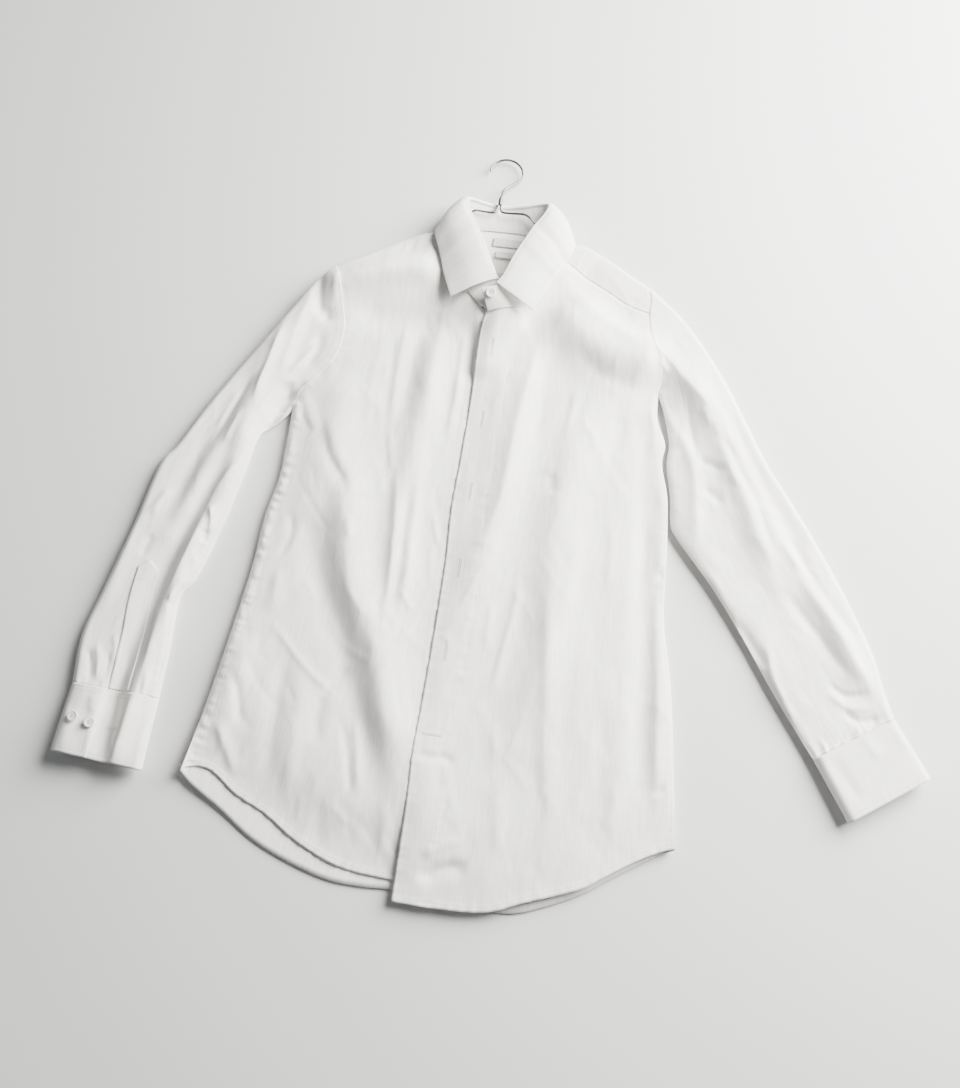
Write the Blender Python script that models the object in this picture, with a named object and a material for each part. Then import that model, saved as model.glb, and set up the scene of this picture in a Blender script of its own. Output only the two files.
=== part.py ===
"""A white dress shirt laid on its back with its sleeves spread, and a thin wire hanger in its neck.

All tables are in millimetres in the lay frame: the origin is the twist at the hanger's neck on the
surface the shirt lies on, +Y runs up to the hook, +X to the wearer's left and +Z up. LAY_CENTRE
moves the middle of the outline to the world's origin, and MM turns millimetres into metres.

Every panel of the body and the sleeves is a wall between an outer and an inner sheet. Seen from
above its outline is a net stretched between four borders. Its height comes from one upper and one
lower surface that all the panels share, so that neighbours meet at their seams.
"""

import math

import bmesh
import bpy
import numpy as np
from mathutils import Matrix, Vector
from mathutils.bvhtree import BVHTree

MM = 0.001
LAY_CENTRE = (70.5, -362.1)

# Cloth and seams
RELAX_ROUNDS = 400
CLOTH = 1.4
CUFF_CLOTH = 1.8
COLLAR_CLOTH = 1.6
SEAM_GAP = 0.54

# How the two layers part: the puff between them, and the roll where they meet at an edge
PUFF = 14.0
EDGE_ROLL = 8.0
ROLL_SHARPNESS = 2.2
ROLL_STEPS = (1.1, 4.0, 8.0)
LEAF_ROOM = 3.6
HEM_LIFT = 7.0
HEM_LIFT_REACH = 60.0
CUFF_LIFT = 9.0
CUFF_LIFT_REACH = 230.0

# Outlines where the upper and the lower layer meet
SIDE_RIGHT = [(-238, -694), (-229, -640), (-217, -553), (-207, -467), (-204, -411), (-197, -370),
              (-196, -331), (-197, -287)]
SIDE_LEFT = [(265, -706), (258, -637), (249, -557), (242, -515), (234, -472), (232, -423),
             (230, -380), (226, -335), (217, -296), (219, -276), (208, -247), (206, -218)]
SHOULDER_RIGHT = [(-178, -104), (-152, -88), (-126, -71), (-96, -54), (-68, -44), (-56, -42)]
SHOULDER_LEFT = [(184, -83), (166, -73), (142, -58), (111, -43), (93, -41), (78, -42)]
SLEEVE_RIGHT_OUTER = [(-178, -104), (-200, -130), (-221, -166), (-256, -227), (-289, -288),
                      (-318, -349), (-328, -364), (-343, -440), (-360, -517), (-371, -569),
                      (-368, -620)]
SLEEVE_RIGHT_INNER = [(-197, -287), (-203, -297), (-213, -307), (-225, -318),
                      (-235, -372), (-246, -429), (-264, -495), (-274, -513), (-275, -572),
                      (-275, -625)]
SLEEVE_LEFT_OUTER = [(184, -83), (202, -97), (231, -124), (276, -185), (304, -234), (329, -279),
                     (359, -322), (387, -364), (413, -406), (436, -447), (456, -487), (466, -518),
                     (477, -547)]
SLEEVE_LEFT_INNER = [(206, -218), (214, -238), (223, -276), (222, -296), (229, -335), (233, -371),
                     (239, -381), (283, -434), (319, -485), (354, -539), (396, -599)]
CUFF_RIGHT_MOUTH = [(-373, -691), (-276, -699)]
CUFF_LEFT_MOUTH = [(514, -603), (433, -658)]

# Seams and free edges
ARMHOLE_RIGHT = [(-178, -104), (-168, -125), (-161, -151), (-154, -188), (-159, -220),
                 (-173, -243), (-188, -259), (-195, -273), (-197, -287)]
ARMHOLE_LEFT = [(184, -83), (187, -104), (187, -125), (192, -156), (202, -182), (208, -202),
                (206, -218)]
YOKE_BACK_SEAM_RIGHT = 0.265
YOKE_BACK_SEAM_LEFT = 0.50
YOKE_FRONT_SEAM_END = 0.28
YOKE_FRONT_SEAM = [(82, -66), (108, -82), (135, -97), (160, -112)]
YOKE_BACK_SEAM = [(-110, -118), (-55, -96), (0, -86), (60, -90), (125, -116)]
NECK_RIGHT = [(-56, -42), (-53, -58), (-43, -82), (-28, -107), (-12, -131), (2, -148), (24, -153)]
NECK_BACK = [(-56, -42), (-40, -35), (-18, -31), (4, -30), (30, -30), (56, -34), (78, -42)]
NECK_LEFT = [(82, -66), (71, -95), (49, -122), (27, -138), (3, -147)]
FRONT_EDGE_RIGHT = [(22, -771), (24, -600), (24, -400), (26, -220), (24, -152)]
LAP_EDGE = [(-8, -791), (-7, -693), (-8, -642), (-6, -600), (-4, -521), (-3, -441), (-5, -380),
            (-3, -329), (-1, -248), (-1, -171), (3, -147)]
HEM_FRONT_RIGHT = [(-238, -694), (-231, -688), (-211, -688), (-180, -709), (-146, -725),
                   (-111, -747), (-66, -765), (-24, -770), (22, -771)]
HEM_FRONT_LEFT = [(-8, -791), (31, -792), (86, -789), (120, -776), (178, -754), (196, -742),
                  (234, -718), (258, -707), (265, -706)]
HEM_BACK = [(-238, -694), (-231, -702), (-194, -725), (-157, -750), (-117, -767), (-74, -779),
            (-40, -781), (-10, -780), (50, -786), (110, -787), (141, -777), (179, -759),
            (204, -742), (250, -713), (265, -706)]

# Folds of the upper layer: the line of each crest (or trough, where the height is below zero),
# its height, and how wide it falls off to the left and to the right of someone walking along it.
# At its two ends a fold keeps FOLD_END of its height, over FOLD_FADE of its length.
FOLD_COLUMNS = ("line", "height", "wide_left", "wide_right")
FOLD_END, FOLD_FADE = 0.3, 0.2
FOLD_SPREAD = 0.62
BODY_FOLDS = {
    "hanger_arm_right": ([(-46, -88), (-90, -101), (-150, -121)], 13, 45, 34),
    "trough_under_arm_right": ([(-30, -160), (-90, -164), (-150, -160)], -5, 30, 30),
    "throat": ([(-30, -118), (5, -146), (40, -128)], 13, 50, 50),
    "shoulder_left": ([(84, -112), (113, -156), (146, -176), (186, -184), (214, -192)], 26, 60, 36),
    "shoulder_left_hollow": ([(96, -72), (140, -112), (176, -134)], -4, 26, 26),
    "long_ridge_right": ([(-140, -318), (-123, -362), (-114, -415), (-101, -468), (-78, -512),
                          (-58, -552), (-44, -602), (-29, -636), (-12, -686)], 11, 44, 28),
    "long_trough_right": ([(-158, -400), (-144, -444), (-126, -488), (-104, -532), (-80, -584),
                           (-58, -634), (-40, -684)], -4, 22, 26),
    "middle_ridge_right": ([(-50, -170), (-54, -300), (-56, -420), (-40, -520)], 6, 30, 26),
    "chest_right": ([(-140, -230), (-148, -330), (-160, -430)], 6, 40, 40),
    "side_ridge_right": ([(-196, -540), (-206, -610), (-214, -690)], 6, 26, 26),
    "soft_fold_left": ([(60, -170), (50, -250), (46, -340), (36, -430), (30, -500)], 8, 34, 30),
    "chest_left": ([(132, -240), (116, -330), (112, -420), (116, -520), (96, -620)], 8, 42, 36),
    "side_hollow_left": ([(198, -270), (206, -370), (216, -500), (220, -604), (230, -690)], -6, 26, 20),
    "hem_left": ([(60, -780), (130, -762), (200, -728)], 5, 50, 50),
}
LAP_FOLDS = {
    "lap_edge": ([(3, -150), (-1, -248), (-4, -380), (-3, -521), (-7, -640), (-8, -791)], 12, 70, 90),
    "lap_corner": ([(2, -195), (12, -160), (22, -125)], 6, 50, 50),
}
UNDER_LAP_FOLDS = {
    "under_lap": ([(16, -140), (16, -250), (14, -400), (12, -600), (8, -780)], -5, 34, 34),
}
SLEEVE_FOLDS = {
    "upper_arm_right": ([(-186, -130), (-222, -199), (-245, -270), (-275, -364), (-296, -450)],
                        7, 26, 22),
    "upper_arm_trough_right": ([(-232, -225), (-258, -290), (-288, -366), (-306, -430)], -4, 16, 18),
    "inner_arm_right": ([(-208, -258), (-228, -322), (-248, -401), (-276, -466), (-281, -522),
                         (-294, -582), (-297, -625), (-303, -692)], 8, 18, 20),
    "valley_right": ([(-250, -350), (-282, -440), (-301, -510), (-312, -570), (-318, -620),
                      (-326, -690)], -6, 20, 18),
    "underarm_web_right": ([(-209, -270), (-209, -296)], -7, 15, 15),
    "upper_arm_left": ([(196, -188), (219, -194), (260, -228), (288, -278), (318, -350), (350, -420)],
                       9, 44, 26),
    "outer_hollow_left": ([(265, -197), (298, -258), (332, -318), (372, -385), (410, -450)],
                          -4, 18, 18),
    "inner_arm_left": ([(240, -290), (250, -370), (290, -430), (338, -490), (374, -550), (398, -590)],
                       5, 26, 22),
    "forearm_left": ([(358, -372), (398, -433), (426, -494), (453, -532)], 6, 24, 22),
}

# Collar: one row for each station, from the wearer's right end round the back to the left end.
# The stand runs from the neck seam up to the fold, the leaf from the fold by its turn and its
# middle to its edge. At the back of the neck the leaf turns down behind the stand, on the surface.
COLLAR_COLUMNS = ("neck_seam", "fold", "leaf_turn", "leaf_middle", "leaf_edge")
COLLAR_REST = 0.9
COLLAR_STEPS = 2
STAND_ROWS = (0.0, 0.33, 0.66, 0.97)
COLLAR = [
    ((13, -154), (20, -128, 29)),
    ((-14, -134), (10, -113, 37), (5, -115, 40), (-13, -124, 40), (-39, -137, 32)),
    ((-30, -109), (-6, -81, 40), (-11, -84, 43), (-27, -94, 41), (-50, -110, 30)),
    ((-46, -82), (-24, -44, 38), (-29, -47, 41), (-43, -60, 39), (-60, -79, 28)),
    ((-56, -57), (-37, -18, 34), (-42, -20, 37), (-56, -33, 34), (-69, -53, 23)),
    ((-50, -43), (-36, -8, 29), (-41, -3, 24), (-55, -11, 9), (-65, -36, 4.8)),
    ((-24, -34), (-18, -5, 19), (-19, 1, 10), (-22, -9, 2.5), (-24, -48, 1.7)),
    ((6, -32), (4, -5, 13), (4, 1, 7.5), (4, -9, 2.5), (5, -50, 1.7)),
    ((38, -33), (30, -4, 19), (32, 2, 10), (34, -8, 2.5), (36, -48, 1.7)),
    ((71, -42), (57, -4, 29), (62, 0, 24), (78, -10, 9), (86, -34, 4.8)),
    ((84, -58), (57, -18, 36), (62, -20, 39), (78, -32, 36), (93, -52, 25)),
    ((80, -82), (44, -45, 41), (49, -49, 44), (64, -61, 43), (84, -82, 33)),
    ((62, -113), (29, -80, 43), (34, -84, 46), (50, -96, 45), (71, -110, 37)),
    ((34, -141), (12, -122, 45), (17, -126, 48), (34, -136, 47), (55, -148, 41)),
    ((5, -151), (-6, -128, 44)),
]

# Cuffs: where the button end and the end below it stop, as shares of the cuff's width
CUFF_OVER_END, CUFF_UNDER_END = 0.42, 0.26
CUFF_LAP_RISE = 2.9
CUFF_ROLL_STEPS = (0.0, 1.3, 4.2, 8.0)

# Placket strip of the right sleeve, from its point to the cuff
PLACKET_RIGHT_EDGE = [(-326, -490), (-328, -524), (-327, -571), (-328, -616)]
PLACKET_WIDTH = 22.0
PLACKET_POINT = 10.0
PLACKET_CLEARANCE = 0.8
PLACKET_CLOTH = 1.0

# Placket strip below the left sleeve, from the cuff upward
PLACKET_LEFT_REST = 0.4
PLACKET_LEFT_ENDS = [(433, -568), (399, -508)]

# Buttons
BUTTON_RADIUS = 5.5
BUTTON_THICK = 2.2
BUTTON_SIDES = 20
BUTTON_CLEARANCE = 0.6
COLLAR_BUTTON = (6, -134)
FRONT_BUTTONS = [(14, -190), (14, -275), (13, -360), (12, -447), (11, -537), (10, -625)]
CUFF_RIGHT_BUTTONS = [(-354, -655), (-336, -659)]
CUFF_LEFT_BUTTONS = [(475, -595), (457, -607)]

# Blank labels inside the yoke: middle, width, height
LABELS = {"label_upper": ((19, -46), 42, 11), "label_lower": ((18, -62), 31, 8)}
LABEL_THICK = 0.8
LABEL_CLEARANCE = 0.35

# Wire hanger
WIRE_RADIUS = 1.3
WIRE_SIDES = 8
HOOK_MIDDLE = (2.0, 47.0)
HOOK_RADIUS = 19.5
HOOK_FROM, HOOK_TO = 175.0, -18.0
HOOK_HEIGHT = 6.0
TWIST_RADIUS = 2.7
NECK_WIRE = [(1.6, 20.8, 10.0), (1.0, 12.0, 16.0), (0.7, 6.0, 19.8), (0.6, 3.6, 20.2)]
TWIST = [(0.6, 3.2, 20.2), (0.5, 0.0, 20.2), (0.4, -5.5, 20.2)]
ARM_RIGHT = [(-1.2, -6.1, 20.2), (-1.5, -9.0, 19.8), (-4.5, -13.6, 19.2), (-10.0, -16.2, 19.4),
             (-29.0, -17.5, 22.0), (-39.0, -28.0, 18.6), (-48.0, -48.0, 11.4), (-66.0, -68.0, 8.0),
             (-90.0, -84.0, 5.6), (-150.0, -112.2, 3.1), (-160.9, -116.8, 3.1), (-162.5, -118.0, 3.1),
             (-163.5, -119.5, 3.1), (-163.6, -120.5, 3.1)]
BAR = [(-163.6, -121.3, 3.1), (-163.4, -122.4, 3.1), (-162.2, -124.3, 3.1), (-159.4, -125.6, 3.1),
       (5.0, -131.0, 3.1), (168.3, -139.2, 3.1), (171.2, -138.4, 3.1), (172.8, -136.6, 3.1),
       (173.1, -135.0, 3.1)]
ARM_LEFT = [(2.2, -6.1, 20.2), (2.4, -9.0, 19.8), (5.2, -13.0, 19.2), (10.0, -14.8, 19.4),
            (34.0, -15.5, 22.0), (48.0, -28.0, 18.0), (64.0, -48.0, 11.2), (80.0, -66.0, 8.4),
            (104.0, -86.0, 5.6), (160.0, -124.0, 3.1), (170.4, -130.5, 3.1), (172.3, -132.0, 3.1),
            (173.0, -133.4, 3.1), (173.1, -134.4, 3.1)]


def smooth_path(points, steps=12):
    """Points along a centripetal curve through the given ones."""
    p = np.array(points, float)
    if len(p) == 2:
        return p
    ends = np.vstack([2 * p[0] - p[1], p, 2 * p[-1] - p[-2]])
    out = [p[0]]
    for a, b, c, d in zip(ends, ends[1:], ends[2:], ends[3:]):
        t0 = 0.0
        t1 = t0 + max(np.linalg.norm(b - a), 1e-9) ** 0.5
        t2 = t1 + max(np.linalg.norm(c - b), 1e-9) ** 0.5
        t3 = t2 + max(np.linalg.norm(d - c), 1e-9) ** 0.5
        for t in np.linspace(t1, t2, steps + 1)[1:]:
            ab = ((t1 - t) * a + (t - t0) * b) / (t1 - t0)
            bc = ((t2 - t) * b + (t - t1) * c) / (t2 - t1)
            cd = ((t3 - t) * c + (t - t2) * d) / (t3 - t2)
            abc = ((t2 - t) * ab + (t - t0) * bc) / (t2 - t0)
            bcd = ((t3 - t) * bc + (t - t1) * cd) / (t3 - t1)
            out.append(((t2 - t) * abc + (t - t1) * bcd) / (t2 - t1))
    return np.array(out)


def shares(points):
    """How far along its length each point of a line lies, from 0 to 1."""
    run = np.concatenate([[0.0], np.cumsum(np.linalg.norm(np.diff(points, axis=0), axis=1))])
    return run / run[-1]


def along(path, fractions):
    """The points of a line at the given shares of its length."""
    at = shares(path)
    return np.stack([np.interp(fractions, at, path[:, k]) for k in range(path.shape[1])], axis=1)


def part_of(path, start, end):
    """The stretch of a line between two shares of its length."""
    at = shares(path)
    inner = at[(at > min(start, end)) & (at < max(start, end))]
    stops = np.concatenate([[min(start, end)], inner, [max(start, end)]])
    piece = along(path, stops)
    return piece if start < end else piece[::-1]


def length_of(path):
    return float(np.linalg.norm(np.diff(path, axis=0), axis=1).sum())


def stops(path, count, roll_start=False, roll_end=False):
    """Shares for `count` steps, with three short steps where a border ends in a rolled edge."""
    roll = np.array(ROLL_STEPS) / length_of(path)
    start = np.concatenate([[0.0], roll]) if roll_start else np.array([0.0])
    end = np.concatenate([1.0 - roll[::-1], [1.0]]) if roll_end else np.array([1.0])
    middle = count - (len(start) - 1) - (len(end) - 1)
    return np.concatenate([start, np.linspace(start[-1], end[0], middle + 1)[1:-1], end])


def seam_offset(points, to_left):
    """How far each point of a seam moves back into the panel on its left, or on its right."""
    step = np.gradient(points, axis=0)
    step *= (SEAM_GAP / 2 if to_left else -SEAM_GAP / 2) / np.linalg.norm(step, axis=1)[:, None]
    return np.stack([-step[:, 1], step[:, 0]], axis=1)


def joined(*legs):
    """One border from several legs, each leg giving its own first point."""
    return np.vstack([leg[:-1] for leg in legs[:-1]] + [legs[-1]])


def net(bottom, top, left, right):
    """Plan points of an evenly relaxed net stretched between four borders."""
    bottom[0] = left[0]
    bottom[-1] = right[0]
    top[0] = left[-1]
    top[-1] = right[-1]
    u, v = (shares(bottom) + shares(top)) / 2, (shares(left) + shares(right)) / 2
    s, t = u[:, None, None], v[None, :, None]
    across = (1 - t) * bottom[:, None] + t * top[:, None]
    upward = (1 - s) * left[None] + s * right[None]
    corners = ((1 - s) * (1 - t) * bottom[0] + s * (1 - t) * bottom[-1]
               + (1 - s) * t * top[0] + s * t * top[-1])
    plan = across + upward - corners
    du, dv = np.diff(u), np.diff(v)
    west, east = (1 / du[:-1])[:, None, None], (1 / du[1:])[:, None, None]
    south, north = (1 / dv[:-1])[None, :, None], (1 / dv[1:])[None, :, None]
    wide = (du[:-1] + du[1:])[:, None, None]
    tall = (dv[:-1] + dv[1:])[None, :, None]
    for _ in range(RELAX_ROUNDS):
        along_u = (plan[2:, 1:-1] - plan[:-2, 1:-1]) / wide
        along_v = (plan[1:-1, 2:] - plan[1:-1, :-2]) / tall
        twist = (plan[2:, 2:] - plan[2:, :-2] - plan[:-2, 2:] + plan[:-2, :-2]) / (wide * tall)
        g_u = 2 * (along_v ** 2).sum(-1, keepdims=True) / wide
        g_v = 2 * (along_u ** 2).sum(-1, keepdims=True) / tall
        g_uv = 2 * (along_u * along_v).sum(-1, keepdims=True)
        pulled = (g_u * (west * plan[:-2, 1:-1] + east * plan[2:, 1:-1])
                  + g_v * (south * plan[1:-1, :-2] + north * plan[1:-1, 2:]) - g_uv * twist)
        pulled /= g_u * (west + east) + g_v * (south + north)
        plan[1:-1, 1:-1] += 0.6 * (pulled - plan[1:-1, 1:-1])
    return plan


def distance_to(xy, path):
    """Distance to a line, the share of its length where it is nearest, and the lean to its left."""
    flat = xy.reshape(-1, 1, 2)
    start, step = path[:-1], np.diff(path, axis=0)
    at = shares(path)
    k = np.clip(((flat - start) * step).sum(-1) / (step * step).sum(-1), 0, 1)
    off = flat - (start + k[..., None] * step)
    d = np.linalg.norm(off, axis=-1)
    rows, nearest = np.arange(len(d)), d.argmin(axis=1)
    share = (at[:-1] + np.diff(at) * k)[rows, nearest]
    cross = (step[:, 0] * off[..., 1] - step[:, 1] * off[..., 0])[rows, nearest]
    lean = cross / (np.linalg.norm(step, axis=1)[nearest] * d[rows, nearest] + 1e-6)
    shape = xy.shape[:-1]
    return d[rows, nearest].reshape(shape), share.reshape(shape), lean.reshape(shape)


def soft_step(x):
    x = np.clip(x, 0, 1)
    return x * x * (3 - 2 * x)


def fold_sum(xy, folds):
    """The height that a table of folds adds."""
    total = np.zeros(xy.shape[:-1])
    for fold in folds:
        d, share, lean = distance_to(xy, fold["line"])
        wide = ((1 + lean) * fold["wide_left"] + (1 - lean) * fold["wide_right"]) / 2
        inside = soft_step(share / FOLD_FADE) * soft_step((1 - share) / FOLD_FADE)
        ends = FOLD_END + (1 - FOLD_END) * inside
        total += fold["height"] * ends * np.exp(-(d / (FOLD_SPREAD * wide)) ** 2)
    return total


def fold_lines(folds):
    rows = [dict(zip(FOLD_COLUMNS, row)) for row in folds.values()]
    return [{**row, "line": smooth_path(row["line"], 4)} for row in rows]


def split_path(first, second, steps=8):
    """Two lines that meet, smoothed as one and parted again where they meet."""
    path = smooth_path(first + second[1:], steps)
    at = (len(first) - 1) * steps
    return path[:at + 1], path[at:]


SHOULDER_RIGHT_LINE, OUTER_RIGHT_LINE = split_path(SHOULDER_RIGHT[::-1], SLEEVE_RIGHT_OUTER)
SHOULDER_LEFT_LINE, OUTER_LEFT_LINE = split_path(SHOULDER_LEFT[::-1], SLEEVE_LEFT_OUTER)
SIDE_RIGHT_LINE, SIDE_LEFT_LINE = smooth_path(SIDE_RIGHT, 8), smooth_path(SIDE_LEFT, 8)
INNER_RIGHT_LINE, INNER_LEFT_LINE = smooth_path(SLEEVE_RIGHT_INNER, 8), smooth_path(SLEEVE_LEFT_INNER, 8)
RIMS = [SIDE_RIGHT_LINE, SIDE_LEFT_LINE, SHOULDER_RIGHT_LINE, SHOULDER_LEFT_LINE,
        np.vstack([OUTER_RIGHT_LINE, CUFF_RIGHT_MOUTH[0]]),
        np.vstack([INNER_RIGHT_LINE, CUFF_RIGHT_MOUTH[1]]),
        np.vstack([OUTER_LEFT_LINE, CUFF_LEFT_MOUTH[0]]),
        np.vstack([INNER_LEFT_LINE, CUFF_LEFT_MOUTH[1]])]
COLLAR_FOOT = smooth_path(NECK_BACK, 4)
BACK_HEM_LINE = smooth_path(HEM_BACK, 4)
ALL_FOLDS = fold_lines(BODY_FOLDS) + fold_lines(SLEEVE_FOLDS)
PANEL_FOLDS = {"front_right": fold_lines(UNDER_LAP_FOLDS), "front_left": fold_lines(LAP_FOLDS)}


def rim_distance(xy):
    return np.min([distance_to(xy, rim)[0] for rim in RIMS], axis=0)


def raw_lower(xy):
    """Underside of the lower layer: flat on the surface, lifted at the collar, the hem and the cuffs."""
    collar = LEAF_ROOM * (1 - soft_step((distance_to(xy, COLLAR_FOOT)[0] - 26) / 24))
    hem = HEM_LIFT * (1 - soft_step(distance_to(xy, BACK_HEM_LINE)[0] / HEM_LIFT_REACH))
    cuffs = sum(CUFF_LIFT * (1 - soft_step(distance_to(xy, np.array(mouth, float))[0] / CUFF_LIFT_REACH))
                for mouth in (CUFF_RIGHT_MOUTH, CUFF_LEFT_MOUTH))
    return collar + hem + cuffs


def raw_upper(xy, panel=None):
    """Top of the upper layer before its edges roll down."""
    height = PUFF + raw_lower(xy) * 0.8 + fold_sum(xy, ALL_FOLDS)
    return height + fold_sum(xy, PANEL_FOLDS.get(panel, []))


def surface(xy, layer):
    """Outer height of the 'lower' layer, or of the upper layer on the named panel."""
    low, high = raw_lower(xy), raw_upper(xy, layer)
    low_seam = raw_upper(xy)
    middle = (low + low_seam) / 2
    roll = 1 - (1 - np.clip(rim_distance(xy) / EDGE_ROLL, 0, 1)) ** ROLL_SHARPNESS
    half_gap = SEAM_GAP / 2
    if layer == "lower":
        return middle - half_gap - (middle - half_gap - low) * roll
    return middle + half_gap + (high - middle - half_gap) * roll


def slope_normals(xy, layer, step=0.4):
    """Unit normals of a layer's surface, pointing away from the cloth's inside."""
    dx, dy = np.array([step, 0.0]), np.array([0.0, step])
    gx = (surface(xy + dx, layer) - surface(xy - dx, layer)) / (2 * step)
    gy = (surface(xy + dy, layer) - surface(xy - dy, layer)) / (2 * step)
    n = np.stack([-gx, -gy, np.ones_like(gx)], axis=-1)
    n /= np.linalg.norm(n, axis=-1)[..., None]
    return -n if layer == "lower" else n


def rim_normals(edge, inside):
    """Level normals at a rolled edge, square to the outline and pointing out of the garment."""
    inward = inside - edge
    inward /= np.linalg.norm(inward, axis=-1)[..., None]
    at = edge + 1.5 * inward
    step = 0.3
    dx, dy = np.array([step, 0.0]), np.array([0.0, step])
    g = np.stack([rim_distance(at + dx) - rim_distance(at - dx),
                  rim_distance(at + dy) - rim_distance(at - dy)], axis=-1)
    g /= np.linalg.norm(g, axis=-1)[..., None]
    return np.concatenate([-g, np.zeros_like(g[..., :1])], axis=-1)


def sheet(plan, layer):
    """Outer points and normals of a panel: layer is one name, or an array of names of the same shape."""
    z = surface(plan, layer)
    return np.concatenate([plan, z[..., None]], axis=-1), slope_normals(plan, layer)


def grid_faces(index):
    """The four-cornered cells of a grid of point numbers."""
    return [(index[i, j], index[i + 1, j], index[i + 1, j + 1], index[i, j + 1])
            for i in range(index.shape[0] - 1) for j in range(index.shape[1] - 1)]


def wall_object(name, outer, inner, index):
    """A closed wall between two sheets of points that share one list of cells."""
    outer, inner = outer.reshape(-1, 3), inner.reshape(-1, 3)
    size = len(outer)
    bm = bmesh.new()
    verts = [bm.verts.new(p) for p in to_world(np.vstack([outer, inner]))]
    edges = {}
    for cell in [c for grid in index for c in grid_faces(grid)]:
        a, b, c, d = cell
        if np.linalg.norm(outer[a] - outer[c]) <= np.linalg.norm(outer[b] - outer[d]):
            halves = ((a, b, c), (a, c, d))
        else:
            halves = ((b, c, d), (b, d, a))
        for half in halves:
            bm.faces.new([verts[k] for k in half])
            bm.faces.new([verts[k + size] for k in reversed(half)])
        for p, q in ((a, b), (b, c), (c, d), (d, a)):
            if (q, p) in edges:
                del edges[q, p]
            else:
                edges[p, q] = True
    for p, q in edges:
        bm.faces.new([verts[q], verts[p], verts[p + size]])
        bm.faces.new([verts[q], verts[p + size], verts[q + size]])
    bmesh.ops.delete(bm, geom=[v for v in bm.verts if not v.link_faces], context="VERTS")
    bmesh.ops.recalc_face_normals(bm, faces=bm.faces)
    return mesh_object(name, bm)


def whole_grid(shape):
    return np.arange(shape[0] * shape[1]).reshape(shape[:2])


def to_world(points):
    return (np.asarray(points, float) - (*LAY_CENTRE, 0.0)) * MM


MATERIALS = {
    "cloth": ((0.86, 0.86, 0.85), 0.85, 0.0),
    "button": ((0.80, 0.79, 0.74), 0.35, 0.0),
    "label": ((0.74, 0.74, 0.73), 0.7, 0.0),
    "wire": ((0.50, 0.50, 0.49), 0.28, 1.0),
}
KINDS = {"button": "button", "label": "label", "hanger": "wire"}


def material_for(name):
    """The object's own material, coloured by its kind."""
    colour, roughness, metallic = MATERIALS[KINDS.get(name.split("_")[0], "cloth")]
    material = bpy.data.materials.new(name)
    material.use_nodes = True
    shader = material.node_tree.nodes["Principled BSDF"]
    shader.inputs["Base Color"].default_value = (*colour, 1.0)
    shader.inputs["Roughness"].default_value = roughness
    shader.inputs["Metallic"].default_value = metallic
    return material


def mesh_object(name, bm):
    mesh = bpy.data.meshes.new(name)
    bm.to_mesh(mesh)
    bm.free()
    mesh.shade_smooth()
    mesh.set_sharp_from_angle(angle=math.radians(50))
    obj = bpy.data.objects.new(name, mesh)
    mesh.materials.append(material_for(name))
    bpy.context.scene.collection.objects.link(obj)
    return obj


# How many steps each seam takes. Two panels that share a seam share its points.
SIDE_STEPS = 17
ARMHOLE_STEPS = 13
ARMHOLE_LEFT_STEPS = 8
BACK_ARM_STEPS = 6
YOKE_ROWS = 6
STRIP_ROWS = 5
SHOULDER_STEPS = 8
NECK_STEPS_RIGHT = 8
NECK_STEPS_BACK = 8
NECK_STEPS_LEFT = 7
YOKE_SEAM_STEPS = 9
SLEEVE_STEPS = 16
CUFF_STEPS = 3


def seam_points():
    """The shared points of every border, as a dictionary."""
    arm_r, arm_l = smooth_path(ARMHOLE_RIGHT), smooth_path(ARMHOLE_LEFT)
    b = {}
    b["side_right"] = along(SIDE_RIGHT_LINE, stops(SIDE_RIGHT_LINE, SIDE_STEPS, False, True))
    b["side_left"] = along(SIDE_LEFT_LINE, stops(SIDE_LEFT_LINE, SIDE_STEPS, False, True))
    b["shoulder_right"] = along(SHOULDER_RIGHT_LINE[::-1],
                                stops(SHOULDER_RIGHT_LINE, SHOULDER_STEPS, True, True))
    b["arm_right_top"] = along(arm_r, stops(arm_r, ARMHOLE_STEPS, True, True))
    low_r = part_of(arm_r, YOKE_BACK_SEAM_RIGHT, 1.0)
    b["arm_right_back"] = along(low_r, stops(low_r, BACK_ARM_STEPS, False, True))
    high_r = part_of(arm_r, YOKE_BACK_SEAM_RIGHT, 0.0)
    b["arm_right_yoke"] = along(high_r, stops(high_r, YOKE_ROWS, False, True))
    front_l = part_of(arm_l, YOKE_FRONT_SEAM_END, 1.0)
    b["arm_left_front"] = along(front_l, stops(front_l, ARMHOLE_LEFT_STEPS, False, True))
    strip_l = part_of(arm_l, 0.0, YOKE_FRONT_SEAM_END)
    b["arm_left_strip"] = along(strip_l, stops(strip_l, STRIP_ROWS, True, False))
    low_l = part_of(arm_l, YOKE_BACK_SEAM_LEFT, 1.0)
    b["arm_left_back"] = along(low_l, stops(low_l, BACK_ARM_STEPS, False, True))
    high_l = part_of(arm_l, YOKE_BACK_SEAM_LEFT, 0.0)
    b["arm_left_yoke"] = along(high_l, stops(high_l, YOKE_ROWS, False, True))
    seam = smooth_path(YOKE_FRONT_SEAM + [tuple(strip_l[-1])])
    b["yoke_front_seam"] = along(seam, stops(seam, YOKE_SEAM_STEPS, False, True))
    back_seam = smooth_path([tuple(high_r[0])] + YOKE_BACK_SEAM + [tuple(high_l[0])])
    steps = SHOULDER_STEPS + NECK_STEPS_BACK + YOKE_SEAM_STEPS
    b["yoke_back_seam"] = along(back_seam, stops(back_seam, steps, True, True))
    return b


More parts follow.
